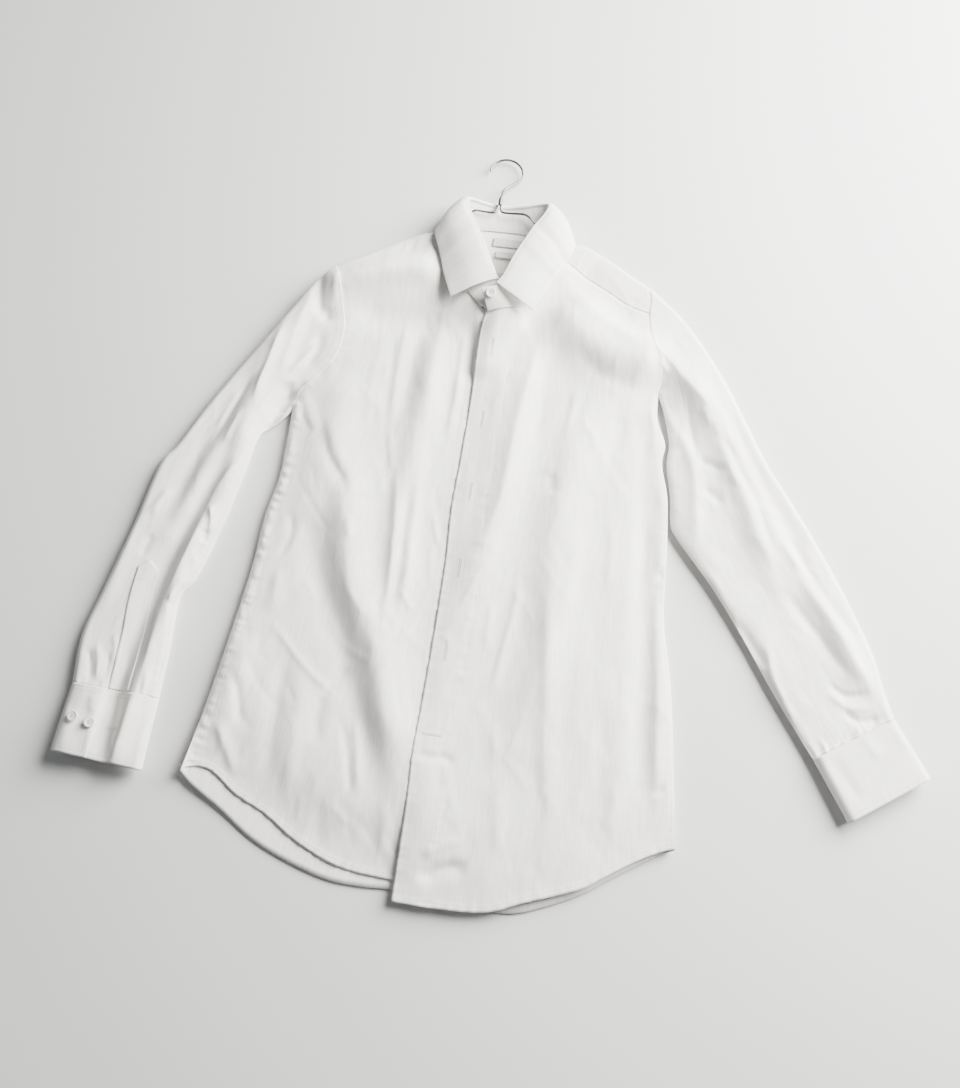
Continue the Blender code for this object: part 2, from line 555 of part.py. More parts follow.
def corner_normal(seam, beside=None):
    """The level normal where a seam starts on a rolled edge, leaning to the one beside it if given."""
    normal = rim_normals(seam[:1], seam[1:2])[0]
    if beside is not None:
        normal = normal + beside
    return normal / np.linalg.norm(normal)


def panel_wall(name, outer, normals, offsets, index):
    """The wall of a panel whose seams are moved back by the given offsets."""
    outer[..., :2] += offsets
    return wall_object(name, outer, outer - CLOTH * normals, index)


def make_front_right(b):
    hem_path = smooth_path(HEM_FRONT_RIGHT)
    arm = b["arm_right_top"][::-1]
    left = joined(b["side_right"], arm)
    shoulder = b["shoulder_right"]
    neck_path = smooth_path(NECK_RIGHT)
    neck = along(neck_path, stops(neck_path, NECK_STEPS_RIGHT, True, False))
    top = joined(shoulder, neck)
    hem = along(hem_path, stops(hem_path, len(top) - 1, True, False))
    edge_path = smooth_path(FRONT_EDGE_RIGHT)
    right = along(edge_path, stops(edge_path, len(left) - 1, False, True))
    plan = net(hem, top, left, right)
    outer, normals = sheet(plan, "front_right")
    side, rim = slice(0, SIDE_STEPS), slice(1, SHOULDER_STEPS + 1)
    normals[0, side] = rim_normals(plan[0, side], plan[1, side])
    normals[rim, -1] = rim_normals(plan[rim, -1], plan[rim, -2])
    normals[0, SIDE_STEPS] = corner_normal(arm, normals[0, SIDE_STEPS - 1])
    normals[0, -1] = corner_normal(arm[::-1])
    offsets = np.zeros_like(plan)
    offsets[0, SIDE_STEPS:] = seam_offset(arm, False)
    return panel_wall("front_right", outer, normals, offsets, [whole_grid(plan.shape)])


def make_front_left(b):
    neck_path = smooth_path(NECK_LEFT)
    neck = along(neck_path[::-1], stops(neck_path, NECK_STEPS_LEFT))
    seam, arm = b["yoke_front_seam"], b["arm_left_front"][::-1]
    right = joined(b["side_left"], arm)
    top = joined(neck, seam)
    hem_path = smooth_path(HEM_FRONT_LEFT)
    hem = along(hem_path, stops(hem_path, len(top) - 1, False, True))
    lap_path = smooth_path(LAP_EDGE)
    left = along(lap_path, stops(lap_path, len(right) - 1))
    plan = net(hem, top, left, right)
    outer, normals = sheet(plan, "front_left")
    side = slice(0, SIDE_STEPS)
    normals[-1, side] = rim_normals(plan[-1, side], plan[-2, side])
    normals[-1, SIDE_STEPS] = corner_normal(arm, normals[-1, SIDE_STEPS - 1])
    offsets = np.zeros_like(plan)
    offsets[-1, SIDE_STEPS:] = seam_offset(arm, True)
    offsets[NECK_STEPS_LEFT:, -1] += seam_offset(seam, False)
    return panel_wall("front_left", outer, normals, offsets, [whole_grid(plan.shape)])


def make_back(b):
    hem_path = smooth_path(HEM_BACK)
    seam = b["yoke_back_seam"]
    hem = along(hem_path, stops(hem_path, len(seam) - 1, True, True))
    arm_r, arm_l = b["arm_right_back"][::-1], b["arm_left_back"][::-1]
    plan = net(hem, seam, joined(b["side_right"], arm_r), joined(b["side_left"], arm_l))
    outer, normals = sheet(plan, "lower")
    side = slice(0, SIDE_STEPS)
    for edge, inside, arm in ((0, 1, arm_r), (-1, -2, arm_l)):
        normals[edge, side] = rim_normals(plan[edge, side], plan[inside, side])
        normals[edge, SIDE_STEPS] = corner_normal(arm, normals[edge, SIDE_STEPS - 1])
    offsets = np.zeros_like(plan)
    offsets[0, SIDE_STEPS:] = seam_offset(arm_r, False)
    offsets[-1, SIDE_STEPS:] = seam_offset(arm_l, True)
    offsets[:, -1] += seam_offset(seam, False)
    return panel_wall("back", outer, normals, offsets, [whole_grid(plan.shape)])


def make_yoke(b):
    """The yoke below the back of the neck, and over the left shoulder to its seam in front."""
    seam, front_seam = b["yoke_back_seam"], b["yoke_front_seam"]
    arm_r, arm_l, strip = b["arm_right_yoke"], b["arm_left_yoke"], b["arm_left_strip"]
    neck_path = smooth_path(NECK_BACK)
    neck = along(neck_path, stops(neck_path, NECK_STEPS_BACK, True, True))
    left_rim = along(SHOULDER_LEFT_LINE, shares(front_seam))
    lower = net(seam, joined(b["shoulder_right"], neck, left_rim), arm_r, arm_l)
    first = SHOULDER_STEPS + NECK_STEPS_BACK
    side = np.array([left_rim[0], front_seam[0]])
    side = along(side, stops(side, STRIP_ROWS, True, False))
    upper = net(lower[first:, -1].copy(), front_seam, side, strip)
    low, low_n = sheet(lower, "lower")
    high, high_n = sheet(upper, "upper")
    rims = np.r_[1:SHOULDER_STEPS + 1, first:len(lower) - 1]
    low_n[rims, -1] = rim_normals(lower[rims, -1], lower[rims, -2])
    low_n[0, -1], low_n[-1, -1] = corner_normal(arm_r[::-1]), corner_normal(arm_l[::-1])
    low[first:, -1, 2] += SEAM_GAP / 2
    low_offsets, high_offsets = np.zeros_like(lower), np.zeros_like(upper)
    low_offsets[0] = seam_offset(arm_r, False)
    low_offsets[-1] = seam_offset(arm_l, True)
    low_offsets[:, 0] += seam_offset(seam, True)
    high_offsets[-1] = seam_offset(strip, False)
    high_offsets[:, -1] += seam_offset(front_seam, True)
    points = np.vstack([low.reshape(-1, 3), high[:, 1:].reshape(-1, 3)])
    normals = np.vstack([low_n.reshape(-1, 3), high_n[:, 1:].reshape(-1, 3)])
    offsets = np.vstack([low_offsets.reshape(-1, 2), high_offsets[:, 1:].reshape(-1, 2)])
    low_index = whole_grid(lower.shape)
    new = low_index.size + np.arange(high[:, 1:].size // 3).reshape(len(high), -1)
    high_index = np.hstack([low_index[first:, -1:], new])
    return panel_wall("yoke", points, normals, offsets, [low_index, high_index])


def make_sleeve(side, b):
    """One sleeve, a tube from the armhole to the cuff's seam that lies flat."""
    right = side == "right"
    outer_path = OUTER_RIGHT_LINE if right else OUTER_LEFT_LINE
    inner_path = INNER_RIGHT_LINE if right else INNER_LEFT_LINE
    if right:
        top_start = b["arm_right_top"]
        low_start = joined(b["arm_right_yoke"][::-1], b["arm_right_back"])
    else:
        top_start = joined(b["arm_left_strip"], b["arm_left_front"])
        low_start = joined(b["arm_left_yoke"][::-1], b["arm_left_back"])
    outer = along(outer_path, stops(outer_path, SLEEVE_STEPS))
    inner = along(inner_path, stops(inner_path, SLEEVE_STEPS))
    end = np.array([outer[-1], inner[-1]])
    sheets = []
    for start, layer in ((top_start, "upper"), (low_start, "lower")):
        plan = net(start.copy(), along(end, stops(end, len(start) - 1, True, True)), outer, inner)
        points, normals = sheet(plan, layer)
        for edge, inside in ((0, 1), (-1, -2)):
            normals[edge] = rim_normals(plan[edge], plan[inside])
            if edge == -1:
                normals[-1, 0] = corner_normal(start[::-1], normals[-1, 1])
            points[edge, :, 2] += -SEAM_GAP / 2 if layer == "upper" else SEAM_GAP / 2
        points[:, 0, :2] += seam_offset(start, not right)
        sheets.append((points, normals))
    (top, top_n), (low, low_n) = sheets
    tube, normals = np.vstack([top, low[-2:0:-1]]), np.vstack([top_n, low_n[-2:0:-1]])
    index = whole_grid(tube.shape)
    return wall_object(f"sleeve_{side}", tube, tube - CLOTH * normals, [np.vstack([index, index[:1]])])


def cuff_stations(width):
    """The cuff's band from its button end, round both edges, to the end that lies below it."""
    roll = np.array(CUFF_ROLL_STEPS) / width
    over = list(np.linspace(CUFF_OVER_END, roll[-1], 4)[:-1]) + list(roll[:0:-1])
    far = np.concatenate([roll, np.linspace(roll[-1], 1 - roll[-1], 7)[1:-1], 1 - roll[::-1]])
    near = list(1 - roll[1:]) + list(np.linspace(1 - roll[-1], CUFF_UNDER_END, 7)[1:])
    return [(f, "over") for f in over] + [(f, "far") for f in far] + [(f, "near") for f in near]


def make_cuff(side):
    """A cuff. The right one opens on top, the left one underneath."""
    right = side == "right"
    outer_path, inner_path = ((OUTER_RIGHT_LINE, INNER_RIGHT_LINE) if right
                              else (OUTER_LEFT_LINE, INNER_LEFT_LINE))
    seam_ends = np.array([outer_path[-1], inner_path[-1]])
    mouth_ends = np.array(CUFF_RIGHT_MOUTH if right else CUFF_LEFT_MOUTH, float)
    across = seam_ends[0] - seam_ends[1]
    width = float(np.linalg.norm(across))
    across = across / width
    near_layer, far_layer = ("upper", "lower") if right else ("lower", "upper")
    down = (mouth_ends - seam_ends).mean(axis=0)
    start = seam_ends + SEAM_GAP * down / np.linalg.norm(down)
    stations = cuff_stations(width)
    rows = np.linspace(0, 1, CUFF_STEPS + 1)[:, None]
    outer = np.zeros((len(stations), len(rows), 3))
    normals = np.zeros_like(outer)
    for i, (f, kind) in enumerate(stations):
        a = start[0] + (start[1] - start[0]) * f
        c = mouth_ends[0] + (mouth_ends[1] - mouth_ends[0]) * f
        points, n = sheet(a + rows * (c - a), far_layer if kind == "far" else near_layer)
        if f in (0.0, 1.0):
            n[:] = (*(across if f == 0.0 else -across), 0.0)
            points[:, 2] += SEAM_GAP / 2 if far_layer == "lower" else -SEAM_GAP / 2
        if kind == "over":
            points[:, 2] += (1.0 if right else -1.0) * CUFF_LAP_RISE * float(soft_step(f / 0.2))
        outer[i], normals[i] = points, n
    return wall_object(f"cuff_{side}", outer, outer - CUFF_CLOTH * normals, [whole_grid(outer.shape)])


def resting_height(objects, points, spread=3.0, below=False):
    """The highest point of some objects under each plan point and around it, or the lowest above."""
    trees = []
    for obj in objects:
        bm = bmesh.new()
        bm.from_mesh(obj.data)
        trees.append(BVHTree.FromBMesh(bm))
        bm.free()
    down = Vector((0, 0, 1 if below else -1))
    pick, far = (min, 100.0) if below else (max, 0.0)
    heights = []
    for x, y in points:
        best = far
        for dx, dy in ((0, 0), (1, 0), (0, 1), (-1, 0), (0, -1), (0.7, 0.7), (-0.7, 0.7),
                       (0.7, -0.7), (-0.7, -0.7)):
            start = Vector(to_world((x + spread * dx, y + spread * dy, -50.0 if below else 100.0)))
            for tree in trees:
                hit = tree.ray_cast(start, down)[0]
                best = pick(best, hit.z / MM) if hit else best
        heights.append(best)
    return np.array(heights)


def collar_line(column):
    """A smooth line through the stations that have a point in this column."""
    k = COLLAR_COLUMNS.index(column)
    return smooth_path([station[k] for station in COLLAR if len(station) > k], COLLAR_STEPS)


def collar_rows(objects):
    """The collar's five lines, the first of them raised to lie on the panels round the neck."""
    base = collar_line("neck_seam")
    middle = len(base) // 2
    z = np.concatenate([resting_height([objects["front_right"], objects["yoke"]], base[:middle], 2.5),
                        resting_height([objects["front_left"], objects["yoke"]], base[middle:], 2.5)])
    seam = np.column_stack([base, z + COLLAR_REST + COLLAR_CLOTH / 2])
    return [seam] + [collar_line(column) for column in COLLAR_COLUMNS[1:]]


def ribbon_object(name, points):
    """A wall of even thickness about a grid of middle points."""
    n = np.cross(np.gradient(points, axis=0), np.gradient(points, axis=1))
    n *= (COLLAR_CLOTH / 2) / np.linalg.norm(n, axis=-1)[..., None]
    return wall_object(name, points + n, points - n, [whole_grid(points.shape)])


def make_collar(objects):
    seam, fold, turn, middle, edge = collar_rows(objects)
    up = np.array(STAND_ROWS)[None, :, None]
    stand = ribbon_object("collar_stand", seam[:, None] + (fold - seam)[:, None] * up)
    start = fold[COLLAR_STEPS:-COLLAR_STEPS] + (0.0, 0.0, COLLAR_CLOTH + SEAM_GAP)
    lines = [smooth_path(np.array(rows), 3) for rows in zip(start, turn, middle, edge)]
    ribbon_object("collar_leaf", np.array(lines))
    return stand


def make_placket_right(sleeve):
    """The pointed strip beside the sleeve's slit, lying on the sleeve."""
    path = smooth_path(PLACKET_RIGHT_EDGE)
    left = along(path, np.linspace(0, 1, 8))
    plan = np.stack([left, left + (PLACKET_WIDTH / 2, 0.0), left + (PLACKET_WIDTH, 0.0)])
    plan[1, 0, 1] += PLACKET_POINT
    flat = plan.reshape(-1, 2)
    z = resting_height([sleeve], flat, 4.0) + PLACKET_CLEARANCE
    low = np.column_stack([flat, z]).reshape(*plan.shape[:2], 3)
    return wall_object("placket_right", low + (0, 0, PLACKET_CLOTH), low, [whole_grid(plan.shape)])


def make_placket_left(sleeve):
    """A plain strip below the sleeve, hidden against the surface."""
    ends = np.array(PLACKET_LEFT_ENDS, float)
    rows = ends[0] + np.linspace(0, 1, 7)[:, None] * (ends[1] - ends[0])
    across = ends[1] - ends[0]
    across = np.array([across[1], -across[0]]) / np.linalg.norm(across)
    plan = np.stack([rows + k * PLACKET_WIDTH / 2 * across for k in (-1, 0, 1)])
    flat = plan.reshape(-1, 2)
    z = resting_height([sleeve], flat, 4.0, below=True) - PLACKET_LEFT_REST
    top = np.column_stack([flat, z]).reshape(*plan.shape[:2], 3)
    return wall_object("placket_left", top, top - (0, 0, PLACKET_CLOTH), [whole_grid(plan.shape)])


def make_button(name, centre, objects, below=False):
    """A round button lying on a panel, or fixed below it."""
    around = [(centre[0] + BUTTON_RADIUS * math.cos(a), centre[1] + BUTTON_RADIUS * math.sin(a))
              for a in np.linspace(0, math.tau, 8, endpoint=False)]
    z = resting_height(objects, around + [centre], 1.5, below)
    tilt = np.array([z[4] - z[0], z[6] - z[2], 2 * BUTTON_RADIUS])
    tilt /= np.linalg.norm(tilt)
    spans = [z[:8].mean(), z[8], *((z[:4] + z[4:8]) / 2)]
    away = BUTTON_CLEARANCE + BUTTON_THICK / 2
    height = min(spans) - away if below else max(spans) + away
    bm = bmesh.new()
    bmesh.ops.create_cone(bm, cap_ends=True, segments=BUTTON_SIDES, radius1=BUTTON_RADIUS * MM,
                          radius2=BUTTON_RADIUS * MM, depth=BUTTON_THICK * MM)
    turn = Vector((0, 0, 1)).rotation_difference(Vector(tilt)).to_matrix().to_4x4()
    place = Vector(to_world((*centre, height)))
    bmesh.ops.transform(bm, matrix=Matrix.Translation(place) @ turn, verts=bm.verts)
    return mesh_object(name, bm)


def make_label(name, middle, width, height, yoke):
    """A blank label lying on the inside of the yoke."""
    x, y = middle
    spots = [(x + dx * width / 2, y + dy * height / 2) for dx in (-1, 0, 1) for dy in (-1, 0, 1)]
    z = float(resting_height([yoke], spots, 0.5).max()) + LABEL_CLEARANCE
    bm = bmesh.new()
    bmesh.ops.create_cube(bm, size=1.0)
    bmesh.ops.scale(bm, vec=(width * MM, height * MM, LABEL_THICK * MM), verts=bm.verts)
    place = Vector(to_world((x, y, z + LABEL_THICK / 2)))
    bmesh.ops.translate(bm, vec=place, verts=bm.verts)
    return mesh_object(name, bm)


def make_wire(name, points, radii=WIRE_RADIUS):
    """A round wire along a line of points, with filled ends."""
    points = np.asarray(points, float)
    radii = np.broadcast_to(radii, len(points))
    tangents = np.gradient(points, axis=0)
    tangents /= np.linalg.norm(tangents, axis=1)[:, None]
    side = np.cross(tangents[0], (0.0, 0.0, 1.0))
    bm = bmesh.new()
    rings = []
    for point, tangent, radius in zip(points, tangents, radii):
        side = side - tangent * (side @ tangent)
        side /= np.linalg.norm(side)
        up = np.cross(side, tangent)
        rings.append([bm.verts.new(to_world(point + radius * (math.cos(a) * side + math.sin(a) * up)))
                      for a in np.linspace(0, math.tau, WIRE_SIDES, endpoint=False)])
    for one, two in zip(rings, rings[1:]):
        for k in range(WIRE_SIDES):
            m = (k + 1) % WIRE_SIDES
            bm.faces.new([one[k], one[m], two[m], two[k]])
    bm.faces.new(rings[0][::-1])
    bm.faces.new(rings[-1])
    bmesh.ops.triangulate(bm, faces=bm.faces)
    bmesh.ops.recalc_face_normals(bm, faces=bm.faces)
    return mesh_object(name, bm)


def make_hanger():
    angles = np.radians(np.linspace(HOOK_FROM, HOOK_TO, 18))
    hook = np.stack([HOOK_MIDDLE[0] + HOOK_RADIUS * np.cos(angles),
                     HOOK_MIDDLE[1] + HOOK_RADIUS * np.sin(angles),
                     np.full(len(angles), HOOK_HEIGHT)], axis=1)
    stem = smooth_path([tuple(hook[-1]), *NECK_WIRE], 3)
    wire = np.vstack([hook, stem[1:]])
    radii = [WIRE_RADIUS] * len(wire) + [TWIST_RADIUS] * len(TWIST)
    make_wire("hanger_hook", np.vstack([wire, TWIST]), radii)
    make_wire("hanger_arm_right", smooth_path(ARM_RIGHT, 2))
    make_wire("hanger_arm_left", smooth_path(ARM_LEFT, 2))
    make_wire("hanger_bar", smooth_path(BAR, 2))


def main():
    for obj in list(bpy.data.objects):
        bpy.data.objects.remove(obj)
    borders = seam_points()
    made = {"back": make_back(borders), "yoke": make_yoke(borders),
            "front_right": make_front_right(borders), "front_left": make_front_left(borders)}
    for side in ("right", "left"):
        made[f"sleeve_{side}"] = make_sleeve(side, borders)
        made[f"cuff_{side}"] = make_cuff(side)
    make_placket_right(made["sleeve_right"])
    make_placket_left(made["sleeve_left"])
    stand = make_collar(made)
    make_button("button_collar", COLLAR_BUTTON, [stand])
    for number, centre in enumerate(FRONT_BUTTONS, 1):
        make_button(f"button_front_{number}", centre, [made["front_right"]])
    for number, centre in enumerate(CUFF_RIGHT_BUTTONS, 1):
        make_button(f"button_cuff_right_{number}", centre, [made["cuff_right"]])
    for number, centre in enumerate(CUFF_LEFT_BUTTONS, 1):
        make_button(f"button_cuff_left_{number}", centre, [made["cuff_left"]], below=True)
    for name, (middle, width, height) in LABELS.items():
        make_label(name, middle, width, height, made["yoke"])
    make_hanger()


main()
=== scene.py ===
"""A crumpled white dress shirt laid on its back, and the wire hanger in its neck.

Tables are in millimetres in the lay frame that the solids use: the origin is the twist at the
hanger's neck on the surface the shirt lies on, +Y runs up to the hook, +X to the wearer's left
and +Z up. LAY_CENTRE moves the middle of the outline to the world's origin.

Every panel is a fine net stretched between its four borders. Its height is the form of the solids
plus the creases, the seams' raised bands and a little crumple, and Solidify gives it thickness.
"""

import math

import bmesh
import bpy
import numpy as np
from bpy.props import FloatProperty, FloatVectorProperty, IntProperty, PointerProperty
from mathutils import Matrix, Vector
from mathutils.bvhtree import BVHTree


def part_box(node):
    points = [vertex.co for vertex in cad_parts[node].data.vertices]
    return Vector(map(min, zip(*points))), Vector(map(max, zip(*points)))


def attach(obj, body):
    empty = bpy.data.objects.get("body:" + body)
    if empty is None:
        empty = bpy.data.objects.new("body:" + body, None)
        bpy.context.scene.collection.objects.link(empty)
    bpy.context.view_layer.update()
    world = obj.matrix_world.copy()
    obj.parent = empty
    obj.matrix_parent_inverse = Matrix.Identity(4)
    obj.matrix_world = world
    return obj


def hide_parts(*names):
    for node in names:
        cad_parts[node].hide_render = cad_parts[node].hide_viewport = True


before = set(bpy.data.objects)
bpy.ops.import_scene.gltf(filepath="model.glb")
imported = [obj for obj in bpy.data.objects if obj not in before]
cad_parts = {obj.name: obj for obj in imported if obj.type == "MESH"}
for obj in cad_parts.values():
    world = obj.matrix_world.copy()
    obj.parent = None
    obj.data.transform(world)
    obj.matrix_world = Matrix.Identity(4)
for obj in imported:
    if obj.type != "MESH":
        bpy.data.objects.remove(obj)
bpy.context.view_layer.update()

bl_info = {
    "name": "Crumpled dress shirt",
    "version": (1, 0, 0),
    "blender": (4, 5, 0),
    "location": "3D View > Sidebar > Shirt",
    "description": "Dresses a shirt's solids with fine cloth, sewing and finishes",
    "category": "Object",
}

MM = 0.001
LAY_CENTRE = (70.5, -362.1)

# The two layers, and the roll where they meet, as in the solids
PUFF = 14.0
EDGE_ROLL = 8.0
ROLL_SHARPNESS = 2.2
LEAF_ROOM = 3.6
LAYER_GAP = 1.6
HEM_LIFT, HEM_LIFT_REACH = 1.4, 60.0
CUFF_LIFT, CUFF_LIFT_REACH = 6.0, 130.0
RELAX_ROUNDS = 260

# Outlines where the upper and the lower layer meet
SIDE_RIGHT = [(-238, -694), (-229, -640), (-217, -553), (-207, -467), (-204, -411), (-197, -370),
              (-196, -331), (-197, -287)]
SIDE_LEFT = [(265, -706), (258, -637), (249, -557), (242, -515), (234, -472), (232, -423),
             (230, -380), (226, -335), (217, -296), (219, -276), (208, -247), (206, -218)]
SHOULDER_RIGHT = [(-178, -104), (-152, -88), (-126, -71), (-96, -54), (-68, -44), (-56, -42)]
SHOULDER_LEFT = [(184, -83), (166, -73), (142, -58), (111, -43), (93, -41), (78, -42)]
SLEEVE_RIGHT_OUTER = [(-178, -104), (-200, -130), (-221, -166), (-256, -227), (-289, -288),
                      (-318, -349), (-328, -364), (-343, -440), (-360, -517), (-371, -569),
                      (-368, -620)]
SLEEVE_RIGHT_INNER = [(-197, -287), (-203, -297), (-213, -307), (-225, -318),
                      (-235, -372), (-246, -429), (-264, -495), (-274, -513), (-275, -572),
                      (-275, -625)]
SLEEVE_LEFT_OUTER = [(184, -83), (202, -97), (231, -124), (276, -185), (304, -234), (329, -279),
                     (359, -322), (387, -364), (413, -406), (436, -447), (456, -487), (466, -518),
                     (477, -547)]
SLEEVE_LEFT_INNER = [(206, -218), (214, -238), (223, -276), (222, -296), (229, -335), (233, -371),
                     (239, -381), (283, -434), (319, -485), (354, -539), (396, -599)]
CUFF_RIGHT_MOUTH = [(-373, -691), (-276, -699)]
CUFF_LEFT_MOUTH = [(514, -603), (433, -658)]

# Seams and free edges
ARMHOLE_RIGHT = [(-178, -104), (-168, -125), (-161, -151), (-154, -188), (-159, -220),
                 (-173, -243), (-188, -259), (-195, -273), (-197, -287)]
ARMHOLE_LEFT = [(184, -83), (187, -104), (187, -125), (192, -156), (202, -182), (208, -202),
                (206, -218)]
YOKE_BACK_SEAM_RIGHT = 0.265
YOKE_BACK_SEAM_LEFT = 0.50
YOKE_FRONT_SEAM_END = 0.28
YOKE_FRONT_SEAM = [(82, -66), (108, -82), (135, -97), (160, -112)]
YOKE_BACK_SEAM = [(-110, -118), (-55, -96), (0, -86), (60, -90), (125, -116)]
NECK_RIGHT = [(-56, -42), (-53, -58), (-43, -82), (-28, -107), (-12, -131), (2, -148), (24, -153)]
NECK_BACK = [(-56, -42), (-40, -35), (-18, -31), (4, -30), (30, -30), (56, -34), (78, -42)]
NECK_LEFT = [(82, -66), (71, -95), (49, -122), (27, -138), (3, -147)]
FRONT_EDGE_RIGHT = [(22, -771), (24, -600), (24, -400), (26, -220), (24, -152)]
LAP_EDGE = [(-8, -791), (-7, -693), (-8, -642), (-6, -600), (-4, -521), (-3, -441), (-5, -380),
            (-3, -329), (-1, -248), (-1, -171), (3, -147)]
HEM_FRONT_RIGHT = [(-238, -694), (-231, -688), (-211, -688), (-180, -709), (-146, -725),
                   (-111, -747), (-66, -765), (-24, -770), (22, -771)]
HEM_FRONT_LEFT = [(-8, -791), (31, -792), (86, -789), (120, -776), (178, -754), (196, -742),
                  (234, -718), (258, -707), (265, -706)]
HEM_BACK = [(-238, -694), (-231, -702), (-194, -725), (-157, -750), (-117, -767), (-74, -779),
            (-40, -781), (-10, -780), (50, -786), (110, -787), (141, -777), (179, -759),
            (204, -742), (250, -713), (265, -706)]

# The large folds of the solids: the line of each crest, or of a trough where the height is below
# zero, its height, and how wide it falls off to the left and right of someone walking along it.
# crisp runs from 0, a soft swell, to 1, a pinched crease. A fold keeps FOLD_END of its height at
# its ends, and a crease none.
FOLD_END, FOLD_FADE, FOLD_SPREAD, CREASE_FADE = 0.3, 0.2, 0.62, 0.3
BODY_FOLDS = [
    ([(-46, -88), (-90, -101), (-150, -121), (-200, -142)], 13, 45, 34),
    ([(-30, -160), (-90, -164), (-150, -160)], -5, 30, 30),
    ([(-30, -118), (5, -146), (40, -128)], 13, 50, 50),
    ([(84, -112), (113, -156), (146, -176), (186, -184), (214, -192)], 19, 60, 50),
    ([(96, -72), (140, -112), (176, -134)], -4, 26, 26),
    ([(-140, -318), (-123, -362), (-114, -415), (-101, -468), (-78, -512), (-58, -552), (-44, -602),
      (-29, -636), (-12, -686)], 10, 44, 32),
    ([(-158, -400), (-144, -444), (-126, -488), (-104, -532), (-80, -584), (-58, -634), (-40, -684)],
     -4, 22, 26),
    ([(-50, -170), (-54, -300), (-56, -420), (-40, -520)], 6, 30, 26),
    ([(-140, -230), (-148, -330), (-160, -430)], 6, 40, 40),
    ([(-196, -540), (-206, -610), (-214, -690)], 6, 26, 26),
    ([(60, -170), (50, -250), (46, -340), (36, -430), (30, -500)], 8, 34, 30),
    ([(132, -240), (116, -330), (112, -420), (116, -520), (96, -620)], 8, 42, 36),
    ([(198, -270), (206, -370), (216, -500), (220, -604), (230, -690)], -6, 26, 20),
    ([(60, -780), (130, -762), (200, -728)], 5, 50, 50),
]
LAP_FOLDS = [
    ([(3, -150), (-1, -248), (-4, -380), (-3, -521), (-7, -640), (-8, -791)], 4.0, 70, 90),
    ([(2, -230), (8, -180), (22, -125)], 8, 50, 40),
]
UNDER_LAP_FOLDS = [
    ([(16, -140), (16, -250), (14, -400), (12, -600), (8, -780)], -5, 34, 18),
]
SLEEVE_FOLDS = [
    ([(-186, -130), (-222, -199), (-245, -270), (-275, -364), (-296, -450)], 7, 26, 22),
    ([(-232, -225), (-258, -290), (-288, -366), (-306, -430)], -4, 16, 18),
    ([(-214, -240), (-232, -276), (-240, -312), (-254, -401), (-276, -466), (-281, -522), (-294, -582),
      (-297, -625), (-303, -692)], 8, 18, 20),
    ([(-250, -350), (-282, -440), (-301, -510), (-312, -570), (-318, -620), (-326, -690)],
     -6, 20, 18),
    ([(-194, -262), (-208, -282), (-228, -322)], -10.5, 15, 8),
    ([(238, -440), (268, -486), (300, -530), (340, -592), (372, -640)], -6, 24, 24),
    ([(196, -188), (219, -194), (260, -228), (288, -278), (318, -350), (350, -420)], 9, 44, 26),
    ([(265, -197), (298, -258), (332, -318), (372, -385), (410, -450)], -4, 18, 18),
    ([(240, -290), (250, -370), (290, -430), (338, -490), (374, -550), (398, -590)], 5, 26, 22),
    ([(358, -372), (398, -433), (426, -494), (453, -532)], 6, 24, 22),
]

